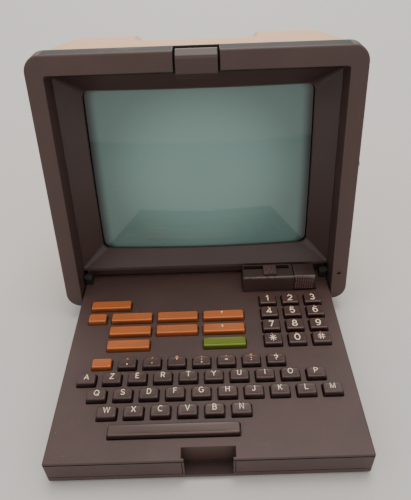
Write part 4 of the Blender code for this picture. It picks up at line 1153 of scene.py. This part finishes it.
def flared(outline, middle, low, high):
    """A cutter that opens out at the deck, so that the edge it leaves is chamfered."""
    if high < deck_top:
        return level(outline, low, high)
    wider = [(x + math.copysign(deck_chamfer, x - middle[0]), y + math.copysign(deck_chamfer, y - middle[1]))
             for x, y in outline]
    rings = ((outline, low), (outline, deck_top - deck_chamfer), (wider, deck_top + 0.00001), (wider, high))
    return loft([[(x, y, z) for x, y in ring] for ring, z in rings])


def carve_case(made, floor, roof, low, back):
    """Hollows a half of the case, and cuts the latch's notch and the switch block's cut-out."""
    step, notch_back = -keyboard_reach + case_wall, -keyboard_reach + notch_depth
    side, notch_side, notch_wall = half_keyboard - case_wall, half_notch + case_wall, notch_back + case_wall
    left, right, inner = cutout[0] - case_wall, cutout[1] + case_wall, cutout_front - case_wall
    cut(made, level([
        (-side, step), (-notch_side, step), (-notch_side, notch_wall), (notch_side, notch_wall),
        (notch_side, step), (side, step), (side, back), (right, back), (right, inner), (left, inner),
        (left, back), (-side, back)], floor, roof))
    top = deck_top + overrun if roof > seam_height + overrun else roof
    before = -keyboard_reach - overrun
    cut(made, flared([
        (-half_mouth, before), (half_mouth, before), (half_mouth, step),
        (half_notch, step), (half_notch, notch_back), (-half_notch, notch_back), (-half_notch, step),
        (-half_mouth, step)], (0.0, notch_back - 2 * overrun), max(low, notch_floor), top))
    (left, right), tail = cutout, keyboard_tail + overrun
    cut(made, flared([(left, cutout_front), (right, cutout_front), (right, tail), (left, tail)],
                     ((left + right) / 2, 0.02), low, top))


def keyboard_base_piece():
    """The keyboard's tray: hollow, with pads that touch the table and posts for the key board."""
    low, high = case_underside, seam_height - seam_gap
    bm = box((-half_keyboard, -keyboard_reach, low), (half_keyboard, keyboard_tail, high))
    bevel_edges(bm, lambda a, b: near(a.y, keyboard_tail) and near(b.y, keyboard_tail)
                and near(a.z, low) and near(b.z, low), tail_chamfer, 1)
    bevel_edges(bm, lambda a, b: near(a.z, low) and near(b.z, low) or not near(a.z, b.z), case_round, 5)
    made = solid("keyboard_base_tray", bm)
    carve_case(made, low + case_wall, high + overrun / 2, low - overrun, keyboard_tail - tail_wall)
    bm = bmesh.new()
    for x in (-1, 1):
        for y in (-keyboard_reach + pad_inset, -pad_inset):
            add_cylinder(bm, (x * (half_keyboard - pad_inset), y, pad_height / 2), pad_radius, pad_height)
    for x in (-1, 0, 1):
        for y in (-keyboard_reach + notch_depth + 2 * post_radius, cutout_front - post_inset):
            add_cylinder(bm, (x * (half_keyboard - post_inset), y, post_middle), post_radius, post_height)
    weld(made, bm)
    smooth(made)
    # Painted shade on the floor of the latch's notch
    paint(made, on_notch_floor, "brown_plastic", "notch_plastic")
    mount(made, "keyboard", "brown_plastic", "keyboard_base")


def keyboard_top_piece():
    """The deck: a hollow half case with an opening for each key and an ear at each hinge."""
    bm = box((-half_keyboard, -keyboard_reach, seam_height), (half_keyboard, keyboard_tail, deck_top))
    bevel_edges(bm, lambda a, b: near(a.z, deck_top) and near(b.z, deck_top) or not near(a.z, b.z),
                case_round, 6)
    made = solid("keyboard_deck", bm)
    below, before = seam_height - overrun / 2, -keyboard_reach - overrun / 2
    carve_case(made, below, deck_top - case_wall, seam_height - overrun, keyboard_tail - case_wall)
    carve_openings(made)
    beyond, groove_end = half_keyboard + overrun / 2, -keyboard_reach + groove_depth
    cut(made, box((-beyond, before, deck_top - groove_foot), (beyond, groove_end, deck_top - groove_top)))
    for side in (-1, 1):
        left, right = sorted((side * groove_side, side * (groove_side + groove_width)))
        cut(made, box((left, before, below), (right, groove_end, deck_top - groove_top - hair)))
    foot = deck_top - ear_root
    for side in (-1, 1):
        middle = side * (half_keyboard - ear_inset - ear_width / 2)
        outline = [(hinge_y - ear_radius, foot)]
        outline += arc((hinge_y, hinge_z), ear_radius, 2, 0, 24) + [(hinge_y + ear_radius, foot)]
        weld(made, prism_x(outline, middle - ear_width / 2, middle + ear_width / 2))
        cut(made, cylinder((middle, hinge_y, hinge_z), pin_radius, 2 * ear_width, "X"))
    smooth(made)
    # Painted shade: the ears and the grooves of the front edge are painted black
    paint(made, lambda centre: centre.z > deck_top + hair or in_groove(centre),
          "brown_plastic", "black_plastic")
    mount(made, "keyboard", "brown_plastic", "keyboard_top")


def from_front_edge(centre):
    """How far a place of the finished case is from its middle, and behind its front edge."""
    return abs(centre.x - stand.x), centre.y - stand.y + keyboard_reach


def in_groove(centre):
    """Whether a place of the finished deck is inside the grooves of its front edge."""
    (across, along), slack = from_front_edge(centre), hair / 2
    flat = deck_top - groove_foot - slack < centre.z < deck_top - groove_top + slack
    upright = groove_side - slack < across < groove_side + groove_width + slack
    return slack < along < groove_depth + slack and (flat or upright)


def on_notch_floor(centre):
    """Whether a place of the finished tray is on the floor of the latch's notch."""
    across, along = from_front_edge(centre)
    return (across < half_notch + hair and 3 * hair < along < notch_depth + hair
            and near(centre.z, notch_floor))


def neck(size):
    """Half the width and depth of a key's neck at the deck."""
    return (size[0] + cap_flare) / 2, (size[1] + cap_flare + cap_slope) / 2


def in_a_row(unit, node, material):
    """The unit at each place of a key's row."""
    first, count, _, _ = keys[node]
    return repeated("grid", unit, on_stand @ Matrix.Translation((*first, 0.0)), Columns=count, Rows=1,
                    Column_Pitch=key_pitch, Row_Pitch=0.0, Material=finish(material))


def carve_openings(made):
    """An opening for each key, a little wider than its neck and chamfered at the deck."""
    middle = -cap_slope / 2
    for node, (_, _, size, _) in keys.items():
        half_x, half_y = (half + cap_clearance for half in neck(size))
        outline = rounded_rectangle(half_x, middle - half_y, middle + half_y, neck_corner, 3, 1)
        opening = flared(outline, (0.0, middle), deck_under - overrun / 2, deck_top + overrun / 2)
        unit = solid(f"{node}_opening", opening, as_it_is)
        shape(made, "DIFFERENCE", in_a_row(unit, node, "brown_plastic"))


def cap_mesh(size, sizes):
    """One key cap with its middle at x = y = 0: neck, steep sides, rounded edge and shallow dish."""
    edge, crown, middle = sizes.cap_round, deck_top + cap_height, -cap_slope / 2
    half_x, half_y = size[0] / 2, size[1] / 2
    neck_x, neck_y = neck(size)

    def ring(reach_x, reach_y, middle, z, turn):
        points = rounded_rectangle(reach_x, middle - reach_y, middle + reach_y, turn, 6, 8)
        return [(x, y, z(x, y) if callable(z) else z) for x, y in points]

    rise = 1 - edge / cap_height
    loops = [ring(neck_x, neck_y, middle, deck_under, neck_corner),
             ring(neck_x, neck_y, middle, deck_top + 0.0003, neck_corner),
             ring(neck_x + (half_x - neck_x) * rise, neck_y + (half_y - neck_y) * rise,
                  middle * (1 - rise), crown - edge, cap_corner)]
    for step in (1, 2, 3, 4):
        angle = math.pi / 2 * step / 4
        inset = edge * (1 - math.cos(angle))
        loops.append(ring(half_x - inset, half_y - inset, 0.0, crown - edge + edge * math.sin(angle),
                          cap_corner - inset * 0.5))
    for share in (0.93, 0.84, 0.72, 0.5, 0.25, 0.06):
        loops.append(ring((half_x - edge) * share, (half_y - edge) * share, 0.0, cap_top(size, sizes),
                          (cap_corner - edge * 0.5) * share))
    return loft(loops)


def cap_top(size, sizes):
    """How high a cap's top is at a place: dished, level near its edge."""
    half_x, half_y = size[0] / 2 - sizes.cap_round, size[1] / 2 - sizes.cap_round

    def height(x, y):
        across, along = min(1.0, abs(x) / half_x), min(1.0, abs(y) / half_y)
        return deck_top + cap_height - sizes.dish * (1 - across ** 4) * (1 - along ** 4)
    return height


def cap_unit(name, size, sizes):
    """A cap with its flange and stem, as one object to repeat."""
    bm = cap_mesh(size, sizes)
    half_x, half_y = (half + cap_clearance + flange_reach for half in neck(size))
    middle, under = -cap_slope / 2, deck_under - flange_height
    add_box(bm, (-half_x, middle - half_y, under), (half_x, middle + half_y, deck_under))
    add_box(bm, (-half_stem, middle - half_stem, stem_foot), (half_stem, middle + half_stem, under))
    made = solid(name, bm, as_it_is)
    smooth(made, 50)
    return made


def key_piece(node, sizes, legends=()):
    """A key, or a row of keys on one body. Each legend says which cap, sign, height, place and ink."""
    (x, y), count, size, material = keys[node]
    made = in_a_row(cap_unit(f"{node}_cap", size, sizes), node, material)
    made.name = made.data.name = f"{node}_caps"
    paint_front_edge_highlights(made, material.replace("plastic", "edge"))
    if count > 1:
        join(made, solid("bar", box((x, y - half_stem, deck_under - flange_height * 0.8),
                                    (x + key_pitch * (count - 1), y + half_stem,
                                     deck_under - flange_height * 0.2))))
    top = cap_top(size, sizes)
    prints = []
    for index, sign, height, shift, ink, weight in legends:
        middle = x + key_pitch * index
        prints.append(legend(f"{node}_print", sign, height, (middle + shift[0], y + shift[1]), ink,
                             lambda across, along: top(across - middle, along - y), weight))
    if prints:
        join(made, *prints)
    mount(made, node, "dark_brown_plastic" if material == "key_plastic" else material, node)


def paint_front_edge_highlights(made, edge_finish):
    """The rounded edge at the front of each cap's top is painted paler, a painted highlight."""
    made.data.materials.append(finish(edge_finish))
    for face in made.data.polygons:
        if face.center.z > deck_top + cap_height * 0.7 and face.normal.y < -0.3 and face.normal.z > 0.2:
            face.material_index = 1


def switch_block_piece():
    """The fixed block: a shelf, the slider's tower with its slot, the rocker's bay and cheek."""
    low, high = (corner - stand for corner in corners("switch_housing"))
    tower_right, cheek = low.x + tower_width, high.x - cheek_wall
    sunk = block_shelf - overrun / 2
    made = solid("switch_block", box(low, (high.x, high.y, block_shelf)))
    weld(made, box((low.x, low.y, sunk), (tower_right, tower_back, tower_top)))
    weld(made, box((cheek, low.y + 0.001, sunk), (high.x, tower_back, cheek_top)))
    cut(made, box((low.x + slot_left, slot_front, tower_top - slot_depth),
                  (tower_right - slot_right, slot_back, tower_top + overrun)))
    cut(made, cylinder(((tower_right + cheek) / 2, *rocker_axis), rocker_bore,
                       cheek - tower_right + 2 * rocker_bore_wall, "X"))
    soften(made, shell_edge, 4)
    mount(made, "terminal", "dark_brown_plastic", "switch_housing", "switch_plastic")


def ridge_unit(name, width, length, height):
    """A low bar with sloping sides, standing on z = 0 along y."""
    bm = bmesh.new()
    for vert in add_box(bm, (-width / 2, -length / 2, -0.0002), (width / 2, length / 2, height)):
        if vert.co.z > 0:
            vert.co.x *= 0.6
            vert.co.y *= 0.96
    return solid(name, bm, as_it_is)


def switch_piece(node, name, unit, place, columns, width, rows=1, pitch=0.0):
    """A moving switch: its softened solid, with ridges or pips spread over a width and painted pale, a
    painted highlight.
    """
    made = copied(node, name)
    soften(made, 0.0003, 2)
    wear(made, "switch_plastic")
    join(made, repeated("grid", unit, place, Columns=columns, Rows=rows, Column_Pitch=width / (columns - 1),
                        Row_Pitch=pitch, Material=finish("rubbed_plastic")))
    mount(made, node, "dark_brown_plastic", node)


def slider_piece(sizes):
    low, high = corners("slider")
    switch_piece("slider", "slider_thumb", ridge_unit("ridge", *slider_ridge, sizes.ridge),
                 Matrix.Translation((low.x + slider_inset, stand.y + slider_middle, high.z)), 9,
                 high.x - low.x - 2 * slider_inset)


def rocker_piece(sizes):
    low, high = corners("power_rocker")
    left, right = low.x + rocker_inset, high.x - rocker_inset
    place = Matrix.Translation((left, low.y, high.z - rocker_foot)) @ Matrix.Rotation(math.pi / 2, 4, "X")
    switch_piece("power_rocker", "power_rocker_body", ridge_unit("pip", *rocker_pip, sizes.ridge),
                 place, 8, right - left, 8, rocker_pitch)


def lamp_piece():
    """A small domed lamp, sunk in its hole."""
    profile = [(lamp_radius, lamp_foot)]
    for turn in (0, *(math.pi / 10 * step for step in range(5))):
        profile.append((lamp_radius * math.cos(turn), lamp_sunk - lamp_dome * math.sin(turn)))
    made = solid("power_lamp_lens", turned(profile, 40, lamp_place, "Y"), on_face)
    smooth(made)
    mount(made, "terminal", "lamp_lens", "power_lamp", "lamp_lens")


def wheel_piece():
    """The wheel in the frame's side, with its shaft and its flutes."""
    half, rim = wheel_width / 2, 0.0002
    profile = [(wheel_radius - 3 * rim, -half), (wheel_radius - 2 * rim, -half + rim),
               (wheel_radius - 2 * rim, half - rim), (wheel_radius - 3 * rim, half)]
    made = solid("side_wheel_knob", turned(profile, 72, wheel_place, "Y"), on_face)
    shaft = solid("shaft", cylinder(wheel_place, 0.0008, 0.006, "Y", sides=24), on_face)
    unit = solid("flute", box((-0.0005, -0.00013, -half + rim), (0.0, 0.00013, half - rim)), as_it_is)
    place = on_face @ Matrix.Translation(wheel_place) @ turn_to("Y")
    join(made, shaft, repeated("ring", unit, place, Count=48, Radius=wheel_radius,
                               Material=finish("dark_brown_plastic")))
    smooth(made, 30)
    mount(made, "side_wheel", "dark_brown_plastic", "side_wheel", "dark_brown_plastic")


# Operators

class MakeStage(bpy.types.Operator):
    """Pale floor, soft lights and the camera at the photograph's angle"""
    bl_idname = "terminal.stage"
    bl_label = "Stage"

    def execute(self, context):
        floor = bpy.data.meshes.new("stage_floor")
        places = [(x * floor_reach, y * floor_reach, 0) for x, y in ((-1, -1), (1, -1), (1, 1), (-1, 1))]
        floor.from_pydata(places, [], [(0, 1, 2, 3)])
        floor.materials.append(finish("pale_floor"))
        linked("stage_floor", floor)

        for name, place, size, power in (("ceiling_light", (0.15, 0.3, 2.0), 0.9, 17.5),
                                         ("back_light", (0.0, 1.9, 1.2), 1.6, 16.0)):
            light = bpy.data.lights.new(name, "AREA")
            light.color, light.energy, light.size = light_colour, power, size
            holder = linked(name, light)
            holder.location = place
            way = Vector((0, 0, 0.1)) - holder.location
            holder.rotation_euler = way.to_track_quat("-Z", "Y").to_euler()

        world = context.scene.world = bpy.data.worlds.new("pale_room")
        world.use_nodes = True
        background = world.node_tree.nodes["Background"].inputs
        background["Color"].default_value = (0.79, 0.758, 0.72, 1.0)
        background["Strength"].default_value = 1.15

        camera = bpy.data.cameras.new("photo_camera")
        camera.sensor_fit = "AUTO"
        camera.sensor_width = 36.0
        camera.lens = photo_focal / photo_high * camera.sensor_width
        camera.shift_x = (photo_wide / 2 - photo_middle[0]) / photo_high
        camera.shift_y = (photo_middle[1] - photo_high / 2) / photo_high
        matrix = Matrix((camera_right, camera_up, -camera_forward)).transposed().to_4x4()
        matrix.translation = camera_place + stand
        context.scene.camera = linked("photo_camera", camera)
        context.scene.camera.matrix_world = matrix
        return {"FINISHED"}


class MakeFrontFrame(bpy.types.Operator):
    """The leaning front frame and its latch"""
    bl_idname = "terminal.front_frame"
    bl_label = "Front frame and latch"

    def execute(self, context):
        front_frame_piece(context.scene.terminal_sizes)
        latch_piece(context.scene.terminal_sizes)
        return {"FINISHED"}


class MakeScreen(bpy.types.Operator):
    """The picture tube and the deep mask round its face"""
    bl_idname = "terminal.screen"
    bl_label = "Screen and mask"

    def execute(self, context):
        mask_piece()
        tube_piece()
        return {"FINISHED"}


class MakeHousing(bpy.types.Operator):
    """The pale rear housing, the tray under it and its rubber feet"""
    bl_idname = "terminal.housing"
    bl_label = "Rear housing, tray and feet"

    def execute(self, context):
        housing_piece()
        base_tray_piece()
        for corner in ("front_left", "front_right", "rear_left", "rear_right"):
            foot_piece(f"foot_{corner}")
        return {"FINISHED"}


class MakeRearFittings(bpy.types.Operator):
    """The round data socket with its contacts, and the two rubber glands"""
    bl_idname = "terminal.rear_fittings"
    bl_label = "Rear fittings"

    def execute(self, context):
        socket_piece()
        gland_piece("mains_gland", 0.0085, 0.0065, 0.0033)
        gland_piece("line_gland", 0.0055, 0.0040, 0.0019)
        return {"FINISHED"}


class MakeKeyboardCase(bpy.types.Operator):
    """The keyboard's deck with its key openings, and the tray under it"""
    bl_idname = "terminal.keyboard_case"
    bl_label = "Keyboard case"

    def execute(self, context):
        keyboard_top_piece()
        keyboard_base_piece()
        return {"FINISHED"}


class MakeLetterRows(bpy.types.Operator):
    """The symbol row, the three letter rows and the space bar"""
    bl_idname = "terminal.letter_rows"
    bl_label = "Letter rows and space bar"

    def execute(self, context):
        sizes = context.scene.terminal_sizes

        def row(signs, height, up, ink, weight):
            return [(index, sign, height, (0.0, up), ink, weight) for index, sign in enumerate(signs)]

        key_piece("key_row_symbols", sizes, row(",.';-:?", sizes.letter, 0.0006, "legend_cream", 0.17)
                  + row("<>@+=*/", sizes.letter * 0.5, 0.0036, "legend_orange", 0.24))
        for name, letters in (("upper", "AZERTYUIOP"), ("middle", "QSDFGHJKLM"), ("lower", "WXCVBN")):
            key_piece(f"key_row_{name}", sizes, row(letters, sizes.letter, 0.0013, "legend_cream", 0.115))
        key_piece("key_space", sizes)
        return {"FINISHED"}


class MakeFunctionKeys(bpy.types.Operator):
    """The orange function keys and the green send key, bare but for two arrows"""
    bl_idname = "terminal.function_keys"
    bl_label = "Function keys"

    def execute(self, context):
        arrows = {name: [(0, sign, 0.0026, (-0.0012, 0.0016), "legend_cream", 0.15)]
                  for name, sign in (("back", "up"), ("next", "down"))}
        for name in "connect zoom square repeat cancel back index correct next guide send".split():
            key_piece(f"key_{name}", context.scene.terminal_sizes, arrows.get(name, ()))
        return {"FINISHED"}


class MakeNumberPad(bpy.types.Operator):
    """The twelve keys of the number pad"""
    bl_idname = "terminal.number_pad"
    bl_label = "Number pad"

    def execute(self, context):
        sizes = context.scene.terminal_sizes
        for name, sign, mark in zip(pad_names, "123456789*0#", "!\"#$%&'()[^]"):
            key_piece(f"key_pad_{name}", sizes, [
                (0, sign, sizes.figure, (0.0, 0.0002), "legend_cream", 0.08 if sign in "*#" else 0.135),
                (0, mark, 0.0018, (-0.0004, 0.0039), "legend_orange", 0.22)])
        return {"FINISHED"}


class MakeSwitchBlock(bpy.types.Operator):
    """The switch block, its ridged slider and its ribbed rocker"""
    bl_idname = "terminal.switch_block"
    bl_label = "Switch block"

    def execute(self, context):
        switch_block_piece()
        slider_piece(context.scene.terminal_sizes)
        rocker_piece(context.scene.terminal_sizes)
        return {"FINISHED"}


class MakeSmallFittings(bpy.types.Operator):
    """The lamp in the frame and the fluted wheel in its side"""
    bl_idname = "terminal.small_fittings"
    bl_label = "Lamp and side wheel"

    def execute(self, context):
        lamp_piece()
        wheel_piece()
        return {"FINISHED"}


class FinishInside(bpy.types.Operator):
    """Finishes for the solids inside and at the hinge, whose shape stays as it is"""
    bl_idname = "terminal.inside"
    bl_label = "Inside parts and hinge"

    def execute(self, context):
        for name, nodes in (
                ("copper_winding", "deflection_yoke"),
                ("circuit_board", "neck_board main_board keyboard_board"),
                ("black_plastic", "anode_lead flyback_transformer hinge_pin_left hinge_pin_right"),
                ("ferrite", "mains_transformer loudspeaker"), ("beige_plastic", "keyboard_ribbon"),
                ("steel", "latch_spring")):
            for node in nodes.split():
                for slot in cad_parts[node].material_slots:
                    slot.material = finish(name)
        return {"FINISHED"}


class TerminalPanel(bpy.types.Panel):
    """The terminal's pieces, sizes and colours"""
    bl_idname = "VIEW3D_PT_terminal"
    bl_label = "Computer terminal"
    bl_space_type = "VIEW_3D"
    bl_region_type = "UI"
    bl_category = "Terminal"

    def draw(self, context):
        for group in (context.scene.terminal_finish, context.scene.terminal_sizes):
            for name in group.__annotations__:
                self.layout.prop(group, name)
        for step in steps:
            self.layout.operator(step.bl_idname)


steps = (MakeStage, MakeFrontFrame, MakeScreen, MakeHousing, MakeRearFittings, MakeKeyboardCase,
         MakeLetterRows, MakeFunctionKeys, MakeNumberPad, MakeSwitchBlock, MakeSmallFittings,
         FinishInside)


def register():
    for group in (TerminalFinish, TerminalSizes, *steps, TerminalPanel):
        bpy.utils.register_class(group)
    bpy.types.Scene.terminal_finish = bpy.props.PointerProperty(type=TerminalFinish)
    bpy.types.Scene.terminal_sizes = bpy.props.PointerProperty(type=TerminalSizes)


def unregister():
    del bpy.types.Scene.terminal_sizes
    del bpy.types.Scene.terminal_finish
    for group in (TerminalPanel, *reversed(steps), TerminalSizes, TerminalFinish):
        bpy.utils.unregister_class(group)


def main():
    register()
    for step in steps:
        family, name = step.bl_idname.split(".")
        getattr(getattr(bpy.ops, family), name)()


if __name__ == "__main__":
    main()
